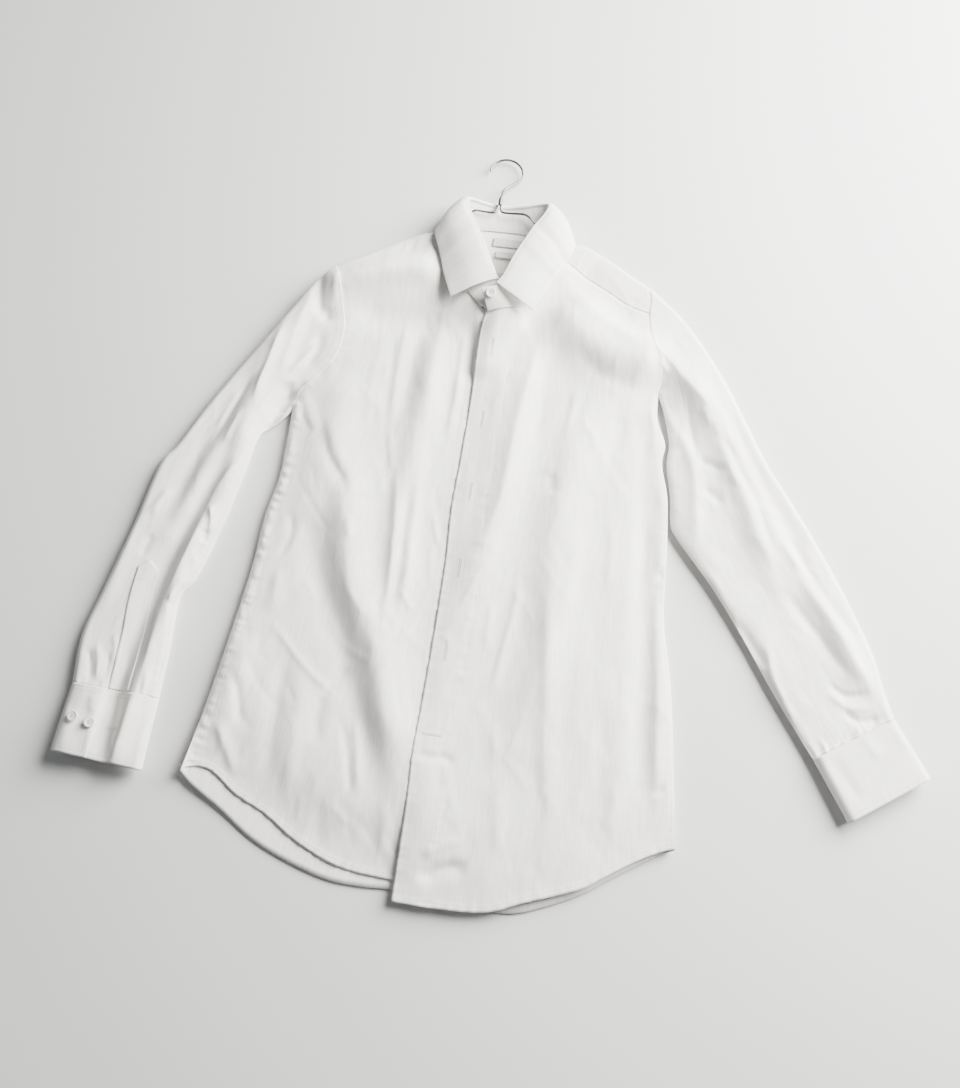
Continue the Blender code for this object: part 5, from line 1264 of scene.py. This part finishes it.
def button_mesh():
    """A turned button with a raised rim, a dished middle and four drilled holes."""
    bm = bmesh.new()
    rings = []
    for radius, z in BUTTON_PROFILE:
        if radius == 0.0:
            rings.append([bm.verts.new((0.0, 0.0, z * MM))])
            continue
        rings.append([bm.verts.new((radius * MM * c, radius * MM * s, z * MM))
                      for c, s in round_about(BUTTON_TURNS)])
    for one, two in zip(rings, rings[1:]):
        for k in range(BUTTON_TURNS):
            m = (k + 1) % BUTTON_TURNS
            face = [one[0], two[k], two[m]] if len(one) == 1 else (
                [one[k], two[0], one[m]] if len(two) == 1 else [one[k], two[k], two[m], one[m]])
            bm.faces.new(face)
    bmesh.ops.recalc_face_normals(bm, faces=bm.faces)
    turned = bpy.data.meshes.new("turned button")
    bm.to_mesh(turned)
    bm.clear()
    for dx, dy in ((1, 1), (1, -1), (-1, 1), (-1, -1)):
        made = bmesh.ops.create_cone(bm, cap_ends=True, segments=14, radius1=HOLE_RADIUS,
                                     radius2=HOLE_RADIUS, depth=6 * MM)
        bmesh.ops.translate(bm, vec=(dx * HOLE_ASIDE, dy * HOLE_ASIDE, 0.0), verts=made["verts"])
    drill = bpy.data.meshes.new("drill")
    bm.to_mesh(drill)
    bm.free()
    blank, cutter = linked("blank", turned), linked("cutter", drill)
    cut = blank.modifiers.new("holes", "BOOLEAN")
    cut.operation, cut.object, cut.solver = "DIFFERENCE", cutter, "EXACT"
    bpy.context.view_layer.update()
    mesh = bpy.data.meshes.new_from_object(blank.evaluated_get(bpy.context.evaluated_depsgraph_get()))
    bpy.data.objects.remove(blank)
    bpy.data.objects.remove(cutter)
    mesh.set_sharp_from_angle(angle=math.radians(35))
    return mesh


def capsule(bm, start, end, radius, sides=6):
    """A short rounded bar of thread between two points."""
    axis = end - start
    turn = Vector((0, 0, 1)).rotation_difference(axis).to_matrix()
    long = axis.length
    steps = [(-radius * 0.7, 0.45), (0.0, 0.9), (long / 2, 1.0), (long, 0.9), (long + radius * 0.7, 0.45)]
    close_rings(bm, [[bm.verts.new(start + turn @ Vector((radius * scale * c, radius * scale * s, z)))
                      for c, s in round_about(sides)] for z, scale in steps])


def plane_of(node):
    """The middle of a flat solid and the way it faces."""
    co = np.array([v.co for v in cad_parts[node].data.vertices], float)
    middle = (co.min(0) + co.max(0)) / 2
    normal = np.linalg.svd(co - co.mean(0), full_matrices=False)[2][-1]
    return Vector(middle), Vector(normal if normal[2] > 0 else -normal)


class SHIRT_OT_buttons(bpy.types.Operator):
    """Makes the buttons and the thread that holds them"""
    bl_idname = "shirt.buttons"
    bl_label = "Buttons"

    def execute(self, context):
        shape = button_mesh()
        for node in sorted(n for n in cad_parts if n.startswith("button")):
            middle, up = plane_of(node)
            if node.startswith("button_cuff_left"):
                up = -up
            turn = Vector((0, 0, 1)).rotation_difference(up).to_matrix()
            mesh = shape.copy()
            for vertex in mesh.vertices:
                vertex.co = turn @ vertex.co + middle
            mesh.update()
            dress(linked("turned_" + node, mesh), finish_of("button"), "button", node)
            bm = bmesh.new()
            across, upward = (turn @ Vector(way) for way in ((1, 0, 0), (0, 1, 0)))
            for out in (-HOLE_ASIDE, HOLE_ASIDE):
                for offset in (-0.22, 0.22):
                    foot = middle + upward * (out + offset * MM) + up * 0.78 * MM
                    capsule(bm, foot - across * HOLE_ASIDE, foot + across * HOLE_ASIDE, 0.2 * MM)
            capsule(bm, middle - up * 1.4 * MM, middle - up * 0.9 * MM, 0.7 * MM, 8)
            # the thread round each button is grey as painted shade of the stitches
            name = "thread_" + node
            dress(linked(name, finished_mesh(bm, name)), finish_of("thread"), "cloth")
        bpy.data.meshes.remove(shape)
        return {"FINISHED"}


class SHIRT_OT_labels(bpy.types.Operator):
    """Makes the two blank labels inside the yoke"""
    bl_idname = "shirt.labels"
    bl_label = "Blank labels"

    def execute(self, context):
        for number, node in enumerate(("label_upper", "label_lower")):
            low, high = (np.array(c) / MM + (*LAY_CENTRE, 0.0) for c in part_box(node))
            u, v = np.linspace(0, 1, 40)[:, None], np.linspace(0, 1, 14)[None]
            x, y = low[0] + (high[0] - low[0]) * u, low[1] + (high[1] - low[1]) * v
            z = high[2] - 0.05 + 0.28 * np.sin(u * 7 + number * 2) * np.sin(math.pi * v)
            obj = net_object("ribbon_" + node, np.stack(np.broadcast_arrays(x, y, z), axis=-1))
            add_wall(obj, 0.0005)
            dress(obj, finish_of("label"), "label", node)
        return {"FINISHED"}


# Wire hanger, along the lines of the solids
WIRE_RADIUS, WIRE_SIDES = 1.3, 18
HOOK_MIDDLE, HOOK_RADIUS, HOOK_HEIGHT, HOOK_TURN = (2.0, 47.0), 19.5, 6.0, (175.0, -18.0)
NECK_WIRE = [(1.6, 20.8, 10.0), (1.0, 12.0, 16.0), (0.7, 6.0, 19.8), (0.6, 3.6, 20.2)]
TWIST_ENDS, TWIST_OUT, TWIST_TURNS = ((0.6, 3.4, 20.2), (0.4, -5.7, 20.2)), 1.35, 3.5
ARM_RIGHT = [(-1.2, -6.1, 20.2), (-1.6, -9.0, 19.8), (-3.2, -13.2, 19.3), (-4.6, -15.2, 19.2),
             (-7.0, -16.0, 19.3), (-18.0, -16.7, 20.6), (-26.0, -17.0, 21.7), (-30.0, -18.8, 21.6),
             (-39.0, -28.0, 18.6), (-48.0, -48.0, 11.4), (-66.0, -68.0, 8.0),
             (-90.0, -84.0, 5.6), (-150.0, -112.2, 3.1), (-160.9, -116.8, 3.1), (-162.5, -118.0, 3.1),
             (-163.5, -119.5, 3.1), (-163.6, -120.9, 3.1)]
BAR = [(-163.6, -120.9, 3.1), (-163.4, -122.4, 3.1), (-162.2, -124.3, 3.1), (-159.4, -125.6, 3.1),
       (5.0, -131.0, 3.1), (168.3, -139.2, 3.1), (171.2, -138.4, 3.1), (172.8, -136.6, 3.1),
       (173.1, -134.7, 3.1)]
ARM_LEFT = [(2.2, -6.1, 20.2), (2.3, -9.0, 19.8), (2.8, -12.0, 19.3), (4.0, -13.8, 19.2),
            (7.0, -14.6, 19.3), (18.0, -15.0, 20.4), (29.0, -15.3, 21.7), (35.0, -17.2, 21.6),
            (48.0, -28.0, 18.0), (64.0, -48.0, 11.2), (80.0, -66.0, 8.4),
            (104.0, -86.0, 5.6), (160.0, -124.0, 3.1), (170.4, -130.5, 3.1), (172.3, -132.0, 3.1),
            (173.0, -133.4, 3.1), (173.1, -134.7, 3.1)]


def sweep(bm, points, radius):
    """A round wire along a line of lay points, rounded over at both ends."""
    points = np.asarray(points, float)
    tangents = np.gradient(points, axis=0)
    tangents /= np.linalg.norm(tangents, axis=1)[:, None]
    first, last = points[0], points[-1]
    caps = ((0.35, 0.94), (0.75, 0.7), (1.0, 0.3))
    rows = [(first - tangents[0] * radius * k * 0.6, tangents[0], radius * s) for k, s in caps[::-1]]
    rows += [(p, t, radius) for p, t in zip(points, tangents)]
    rows += [(last + tangents[-1] * radius * k * 0.6, tangents[-1], radius * s) for k, s in caps]
    side = np.cross(tangents[0], (0.0, 0.0, 1.0))
    rings = []
    for point, tangent, size in rows:
        side = side - tangent * (side @ tangent)
        side /= np.linalg.norm(side)
        up = np.cross(side, tangent)
        rings.append([bm.verts.new(to_world(point + size * (c * side + s * up)))
                      for c, s in round_about(WIRE_SIDES)])
    close_rings(bm, rings)


def wire_object(name, *lines):
    """The wires along some lines of lay points, as one dressed piece."""
    bm = bmesh.new()
    for points, radius in lines:
        sweep(bm, points, radius)
    bmesh.ops.recalc_face_normals(bm, faces=bm.faces)
    obj = linked("wire_" + name, finished_mesh(bm, "wire_" + name))
    dress(obj, finish_of("wire"), "wire", "hanger_" + name)


class SHIRT_OT_hanger(bpy.types.Operator):
    """Makes the wire hanger with its twisted neck"""
    bl_idname = "shirt.hanger"
    bl_label = "Wire hanger"

    def execute(self, context):
        angles = np.radians(np.linspace(*HOOK_TURN, 60))
        hook = np.stack([HOOK_MIDDLE[0] + HOOK_RADIUS * np.cos(angles),
                         HOOK_MIDDLE[1] + HOOK_RADIUS * np.sin(angles),
                         np.full(len(angles), HOOK_HEIGHT)], axis=1)
        stem = smooth_path([tuple(hook[-1]), *NECK_WIRE], 10)
        start, end = (np.array(p) for p in TWIST_ENDS)
        turns = np.linspace(0, 1, 90)[:, None]
        strands = []
        for phase in (0.0, math.pi):
            angle = turns * math.tau * TWIST_TURNS + phase
            ring = np.concatenate([np.cos(angle), 0 * angle, np.sin(angle)], axis=1) * TWIST_OUT
            strands.append((start + (end - start) * turns + ring, WIRE_RADIUS * 0.94))
        wire_object("hook", (np.vstack([hook, stem[1:]]), WIRE_RADIUS), *strands)
        for name, line in (("arm_right", ARM_RIGHT), ("arm_left", ARM_LEFT), ("bar", BAR)):
            wire_object(name, (smooth_path(line, 8), WIRE_RADIUS))
        return {"FINISHED"}


# Stitches: pitch, length, width and height of one, and how far a double row stands apart
STITCH_PITCH, STITCH_SIZE, TWIN_GAP = 2.7, (2.0, 0.6, 0.5), 6.5
BUTTONHOLES = [("front_left", middle, 18, True)
               for middle in ((16, -190), (16, -275), (14, -360), (14, -447), (12, -537))]
BUTTONHOLES += [("front_left", (10, -625), 17, False), ("cuff_right", (-316, -661), 11, False)]
PLACKET_BAR = [(-326, -503), (-307, -503)]
TICK_SIZE = (2.4, 1.2, 0.8)
COLLAR_TICKS = [((-38, -8), (-3, -17), 9), ((8, -16), (55, -6), 11)]


def inset(line, away, towards):
    """A line moved sideways by a distance, on the side that a point lies."""
    line = np.asarray(line, float)
    t = np.gradient(line, axis=0)
    t /= np.linalg.norm(t, axis=1)[:, None]
    n = np.column_stack([-t[:, 1], t[:, 0]])
    middle = line[len(line) // 2]
    side = 1 if (np.asarray(towards, float) - middle) @ n[len(line) // 2] > 0 else -1
    return line + side * away * n


def laid(names, line, start=0.01, end=0.99, step=4.0, lift=0.06, below=False):
    """A plan line put on the surface of some pieces, as points in space."""
    line = np.asarray(line, float)
    count = max(3, int(length_of(line) / step))
    points = along(line, np.linspace(start, end, count))
    z = height_on(names, points, below)
    return np.column_stack([points, z - lift if below else z + lift])


def point_at(line, distance):
    """The point of a line at a distance from its start."""
    return along(line, [distance / length_of(line)])[0]


def offset_net(net, half, up):
    """A net moved out by half its cloth's thickness, on its upper side or the other."""
    n = normals(net)
    n /= np.linalg.norm(n, axis=-1)[..., None]
    return net + (n if up else -n) * half


def collar_stitch_lines():
    """The line round the leaf, inside its edge, and one on each side of the stand above the neck seam."""
    stand, leaf = collar_points()
    half = bpy.context.scene.shirt_look.collar_thickness / MM / 2 + 0.03
    top = offset_net(leaf, half, normals(leaf)[len(leaf) // 4, -4, 2] > 0)
    lines = [np.array([point_at(row[::-1], TWIN_GAP) for row in top])[6:-6]]
    for rows in (top, top[::-1]):
        ends = np.array([point_at(column, TWIN_GAP) for column in rows.transpose(1, 0, 2)])
        gap = np.linalg.norm(rows[0] - rows[0][-1], axis=1)
        lines.append(ends[gap > TWIN_GAP][2:])
    return lines + [offset_net(stand, half, up)[4:-4, 2] for up in (False, True)]


def stitch_lines():
    """The rows of stitches that show."""
    body_right, body_left = (-100, -420), (120, -420)
    sleeve_right, sleeve_left = (-300, -300), (300, -200)
    # the pieces, the seam or edge, how far from it and towards what, and the share that is sewn
    lines = [laid(names.split(), inset(line, away, towards), *ends) for names, line, away, towards, *ends in (
        ("front_right", HEM_RIGHT_LINE, HEM_WIDE, body_right, 0.01, 0.93),
        ("front_left", HEM_LEFT_LINE, HEM_WIDE, body_left),
        ("front_left", LAP_LINE, 1.6, body_left),
        ("front_left", LAP_LINE, FACING_WIDE, body_left, 0.03, 0.985),
        ("front_right", SIDE_RIGHT_LINE, 2.0, body_right),
        ("front_right", SIDE_RIGHT_LINE, FELL_WIDE, body_right),
        ("front_left", SIDE_LEFT_LINE, 3.0, body_left, 0.01, 0.96),
        ("sleeve_right", ARM_RIGHT_LINE, FELL_WIDE, sleeve_right, 0.05, 0.96),
        ("sleeve_right", ARM_RIGHT_LINE, 1.6, sleeve_right, 0.03, 0.97),
        ("sleeve_left", ARM_LEFT_LINE, FELL_WIDE, sleeve_left, 0.06, 0.95),
        ("sleeve_left", ARM_LEFT_LINE, 1.6, sleeve_left, 0.03, 0.97),
        ("yoke front_left", YOKE_FRONT_LINE, 1.6, (100, -40)),
        ("yoke", NECK_BACK_LINE, 7.0, (0, -90), 0.2, 0.8),
        ("yoke", YOKE_BACK_LINE, 1.6, (0, 0), 0.1, 0.5),
        ("sleeve_right", INNER_RIGHT_LINE, 3.0, (-300, -400), 0.02, 0.98),
        ("sleeve_left", INNER_LEFT_LINE, 3.0, (330, -400), 0.02, 0.98))]
    for side, way in (("right", (-322, -650)), ("left", (455, -600))):
        cuff, (*_, seam, mouth) = [f"cuff_{side}"], SIDES[side]
        for line, away in ((seam, 1.6), (seam, 6.0), (mouth, 5.0)):
            lines.append(laid(cuff, inset(line, away, way), 0.05, 0.95, 3.0))
        ends = [line[0] + (line[1] - line[0]) * (CUFF_OVER_END - 0.05) for line in (seam, mouth)]
        lines.append(laid(cuff, ends, 0.06, 0.93, 3.0, 0.06, side == "left"))
    for away in (1.5, PLACKET_WIDTH - 1.5):
        lines.append(laid(["placket_right"], PLACKET_RIGHT_EDGE + (away, 0.0), 0.02, 0.99, 3.0))
    lines.append(laid(["placket_right"], PLACKET_BAR, 0.0, 1.0, 2.0))
    return lines + collar_stitch_lines()


def stitch_tree():
    """Stitches along every line: their pitch, length, width and height are its inputs."""
    tree = bpy.data.node_groups.new("row of stitches", "GeometryNodeTree")
    for name, kind in (("Lines", "Geometry"), ("Pitch", "Float"), ("Length", "Float"),
                       ("Width", "Float"), ("Height", "Float"), ("Material", "Material")):
        tree.interface.new_socket(name, in_out="INPUT", socket_type="NodeSocket" + kind)
    tree.interface.new_socket("Stitches", in_out="OUTPUT", socket_type="NodeSocketGeometry")
    given, sizes, out = (tree.nodes.new(kind) for kind in (
        "NodeGroupInput", "ShaderNodeCombineXYZ", "NodeGroupOutput"))
    curve, points, ball, shape, place, real, soft, finish = (
        tree.nodes.new("GeometryNode" + kind) for kind in (
            "MeshToCurve", "CurveToPoints", "MeshUVSphere", "Transform", "InstanceOnPoints",
            "RealizeInstances", "SetShadeSmooth", "SetMaterial"))
    points.mode = "LENGTH"
    for name, value in (("Segments", 7), ("Rings", 4), ("Radius", 0.5)):
        ball.inputs[name].default_value = value
    for start, outlet, end, inlet in (
            (given, "Lines", curve, "Mesh"), (curve, "Curve", points, "Curve"),
            (given, "Pitch", points, "Length"), (given, "Width", sizes, "X"),
            (given, "Height", sizes, "Y"), (given, "Length", sizes, "Z"),
            (ball, "Mesh", shape, "Geometry"), (sizes, "Vector", shape, "Scale"),
            (points, "Points", place, "Points"), (points, "Rotation", place, "Rotation"),
            (shape, "Geometry", place, "Instance"), (place, "Instances", real, "Geometry"),
            (real, "Geometry", soft, "Geometry"), (soft, "Geometry", finish, "Geometry"),
            (given, "Material", finish, "Material"), (finish, "Geometry", out, "Stitches")):
        tree.links.new(start.outputs[outlet], end.inputs[inlet])
    return tree


def sew(name, lines, pitch, size):
    """Turns lines of points into one plain mesh of stitches."""
    verts, edges = [], []
    for line in lines:
        line = line[~np.isnan(line).any(axis=1)]
        edges += [(k, k + 1) for k in range(len(verts), len(verts) + len(line) - 1)]
        verts += to_world(line).tolist()
    mesh = bpy.data.meshes.new("lines of " + name)
    mesh.from_pydata(verts, edges, [])
    source = linked("lines of " + name, mesh)
    rows = source.modifiers.new("stitches", "NODES")
    rows.node_group = stitch_tree()
    # the rows of stitches are grey as painted shade along the seams, not the thread's own colour
    given = {"Material": finish_of("thread"), "Pitch": pitch * MM}
    given.update({key: value * MM for key, value in zip(("Length", "Width", "Height"), size)})
    for item in rows.node_group.interface.items_tree:
        if item.in_out == "INPUT" and item.name in given:
            rows[item.identifier] = given[item.name]
    bpy.context.view_layer.update()
    ready = source.evaluated_get(bpy.context.evaluated_depsgraph_get())
    made = bpy.data.meshes.new_from_object(ready)
    made.name = name
    bpy.data.objects.remove(source)
    dress(linked(name, made), finish_of("thread"), "cloth")


def buttonhole(bm, names, middle, length, upright=True):
    """A slit bound with close loops of thread and a bar at each end."""
    way, side = np.eye(2)[::-1] if upright else np.eye(2)
    steps = middle + np.arange(-length / 2, length / 2, 0.42)[:, None] * way
    rows = [(steps + sign * 0.2 * side, sign * 1.25 * side) for sign in (-1, 1)]
    spots = middle + np.linspace(-1.4, 1.4, 7)[:, None] * side
    rows += [(spots + end * (length / 2 + 0.2) * way, end * 1.2 * way) for end in (-1, 1)]
    for feet, reach in rows:
        low, high = height_on(names, feet), height_on(names, feet + reach)
        for a, b in zip(np.column_stack([feet, low + 0.18]), np.column_stack([feet + reach, high + 0.1])):
            capsule(bm, Vector(to_world(a)), Vector(to_world(b)), 0.21 * MM, 5)


class SHIRT_OT_sewing(bpy.types.Operator):
    """Sews the rows of stitches and binds the buttonholes"""
    bl_idname = "shirt.sewing"
    bl_label = "Stitches and buttonholes"

    def execute(self, context):
        sew("stitches_seams", stitch_lines(), STITCH_PITCH, STITCH_SIZE)
        ticks, neck = [], ["collar_stand", "collar_leaf", "yoke"]
        for start, end, count in COLLAR_TICKS:
            spots = np.linspace(start, end, count)
            rows = [np.column_stack([at, height_on(neck, at) + 0.1])
                    for at in (spots, spots - (0, TICK_SIZE[0]))]
            ticks += list(np.stack(rows, axis=1))
        sew("stitches_neck", ticks, TICK_SIZE[0], TICK_SIZE)
        bm = bmesh.new()
        for names, middle, length, upright in BUTTONHOLES:
            buttonhole(bm, [names], middle, length, upright)
        obj = linked("thread_buttonholes", finished_mesh(bm, "thread_buttonholes"))
        dress(obj, finish_of("binding"), "cloth")
        return {"FINISHED"}


# Stage: the floor, the sky's fill and one large lamp at the upper right
CAMERA_PLACE, CAMERA_TURN, LENS, SENSOR = (0.0076, -0.4118, 1.19), (17.0, 0.0, 7.5), 38.05, 36.0
LAMP_PLACE, LAMP_SIZE = (1.0, 0.72, 0.88), 1.2
FLOOR_SIZE, FLOOR_DROP = 9.0, 0.0006


class SHIRT_OT_stage(bpy.types.Operator):
    """Sets up the camera, the pale floor, the fill and the lamp"""
    bl_idname = "shirt.stage"
    bl_label = "Stage"

    def execute(self, context):
        look, scene = context.scene.shirt_look, context.scene
        data = bpy.data.cameras.new("camera")
        data.lens, data.sensor_width, data.sensor_fit = LENS, SENSOR, "VERTICAL"
        data.sensor_height = SENSOR
        camera = scene.camera = linked("camera", data)
        camera.location = CAMERA_PLACE
        camera.rotation_euler = [math.radians(a) for a in CAMERA_TURN]

        half = FLOOR_SIZE / 2
        corners = [(x * half, y * half, -FLOOR_DROP) for x, y in ((-1, -1), (1, -1), (1, 1), (-1, 1))]
        mesh = bpy.data.meshes.new("floor")
        mesh.from_pydata(corners, [], [(0, 1, 2, 3)])
        floor = linked("floor", mesh)
        paint, shader, tree = blank_material("pale_floor", 0.75)
        mottle(tree, shader, object_noise(tree, Scale=3.0), look.floor_colour, 0.985)
        mesh.materials.append(paint)

        world = bpy.data.worlds.new("fill")
        world.use_nodes = True
        sky = world.node_tree.nodes["Background"]
        sky.inputs["Color"].default_value = (*look.fill_colour, 1.0)
        sky.inputs["Strength"].default_value = look.fill_strength
        scene.world = world
        lamp = bpy.data.lights.new("lamp", "AREA")
        lamp.energy, lamp.size, lamp.color = look.lamp_power, LAMP_SIZE, look.lamp_colour
        source = linked("lamp", lamp)
        source.location = LAMP_PLACE
        aim = Vector((0.0, -0.05, 0.0)) - Vector(LAMP_PLACE)
        source.rotation_euler = aim.to_track_quat("-Z", "Y").to_euler()
        return {"FINISHED"}


def colour(name, value, text):
    """A setting that holds a colour."""
    return FloatVectorProperty(name=name, description=text, default=value, size=3, min=0.0, max=1.0,
                               subtype="COLOR")


class ShirtLook(bpy.types.PropertyGroup):
    """The sizes and colours of the shirt that a user may change"""
    spacing: FloatProperty(name="Net spacing", description="Distance between the points of a panel",
                           default=0.0024, min=0.0015, max=0.01, unit="LENGTH")
    thickness: FloatProperty(name="Cloth", description="Thickness of one panel", default=0.0007,
                             min=0.0003, max=0.0015, unit="LENGTH")
    cuff_thickness: FloatProperty(name="Cuff cloth", description="Thickness of the fused cuffs",
                                  default=0.0017, min=0.0005, max=0.0018, unit="LENGTH")
    collar_thickness: FloatProperty(name="Collar cloth", description="Thickness of the fused collar",
                                    default=0.0016, min=0.0005, max=0.002, unit="LENGTH")
    crease_strength: FloatProperty(name="Creases", description="Strength of the placed creases",
                                   default=1.0, min=0.0, max=2.0, subtype="FACTOR")
    crumple_strength: FloatProperty(name="Crumple", description="Strength of the small creases",
                                    default=0.8, min=0.0, max=3.0, subtype="FACTOR")
    crumple_seed: IntProperty(name="Crumple seed", description="Changes where small creases fall",
                              default=0, min=0)
    seam_strength: FloatProperty(name="Seams", description="Strength of raised and puckered seams",
                                 default=1.0, min=0.0, max=2.0, subtype="FACTOR")
    wrinkle_depth: FloatProperty(name="Fine wrinkles", description="Depth of the finest wrinkles",
                                 default=0.0008, min=0.0, max=0.002, unit="LENGTH")
    thread_width: FloatProperty(name="Yarn", description="Width of one woven yarn", default=0.0003,
                                min=0.0001, max=0.001, unit="LENGTH")
    cloth_colour: colour("Cloth colour", (0.87, 0.863, 0.83), "White poplin")
    # Thread colour is painted shade of the stitches and their puckers; the sewing thread itself is white
    stitch_shade_colour: colour("Thread colour", (0.66, 0.65, 0.62), "Sewing thread")
    button_colour: colour("Button colour", (0.80, 0.79, 0.74), "Pale pearly resin")
    label_colour: colour("Label colour", (0.64, 0.64, 0.63), "Blank woven labels")
    wire_colour: colour("Wire colour", (0.24, 0.24, 0.23), "Steel wire")
    floor_colour: colour("Floor colour", (0.63, 0.63, 0.625), "Pale floor")
    fill_colour: colour("Fill colour", (0.95, 0.97, 1.0), "Light from all round")
    lamp_colour: colour("Lamp colour", (1.0, 0.985, 0.96), "Light of the large lamp")
    fill_strength: FloatProperty(name="Fill", description="Strength of the light from all round",
                                 default=0.23, min=0.0, max=3.0)
    lamp_power: FloatProperty(name="Lamp", description="Power of the large lamp", default=190.0,
                              min=0.0, max=3000.0, unit="POWER")


class SHIRT_PT_panel(bpy.types.Panel):
    """Lists the shirt's pieces and its settings"""
    bl_idname = "SHIRT_PT_panel"
    bl_label = "Shirt"
    bl_space_type = "VIEW_3D"
    bl_region_type = "UI"
    bl_category = "Shirt"

    def draw(self, context):
        for step in STEPS:
            self.layout.operator(step.bl_idname)
        for name in ShirtLook.__annotations__:
            self.layout.prop(context.scene.shirt_look, name)


STEPS = (SHIRT_OT_stage, SHIRT_OT_body, SHIRT_OT_collar, SHIRT_OT_cuffs, SHIRT_OT_buttons,
         SHIRT_OT_labels, SHIRT_OT_hanger, SHIRT_OT_sewing)
CLASSES = (ShirtLook, *STEPS, SHIRT_PT_panel)


def register():
    for kind in CLASSES:
        bpy.utils.register_class(kind)
    bpy.types.Scene.shirt_look = PointerProperty(type=ShirtLook)


def unregister():
    del bpy.types.Scene.shirt_look
    for kind in reversed(CLASSES):
        bpy.utils.unregister_class(kind)


def main():
    register()
    for step in STEPS:
        group, action = step.bl_idname.split(".")
        getattr(getattr(bpy.ops, group), action)()
    bpy.context.view_layer.update()


if __name__ == "__main__":
    main()
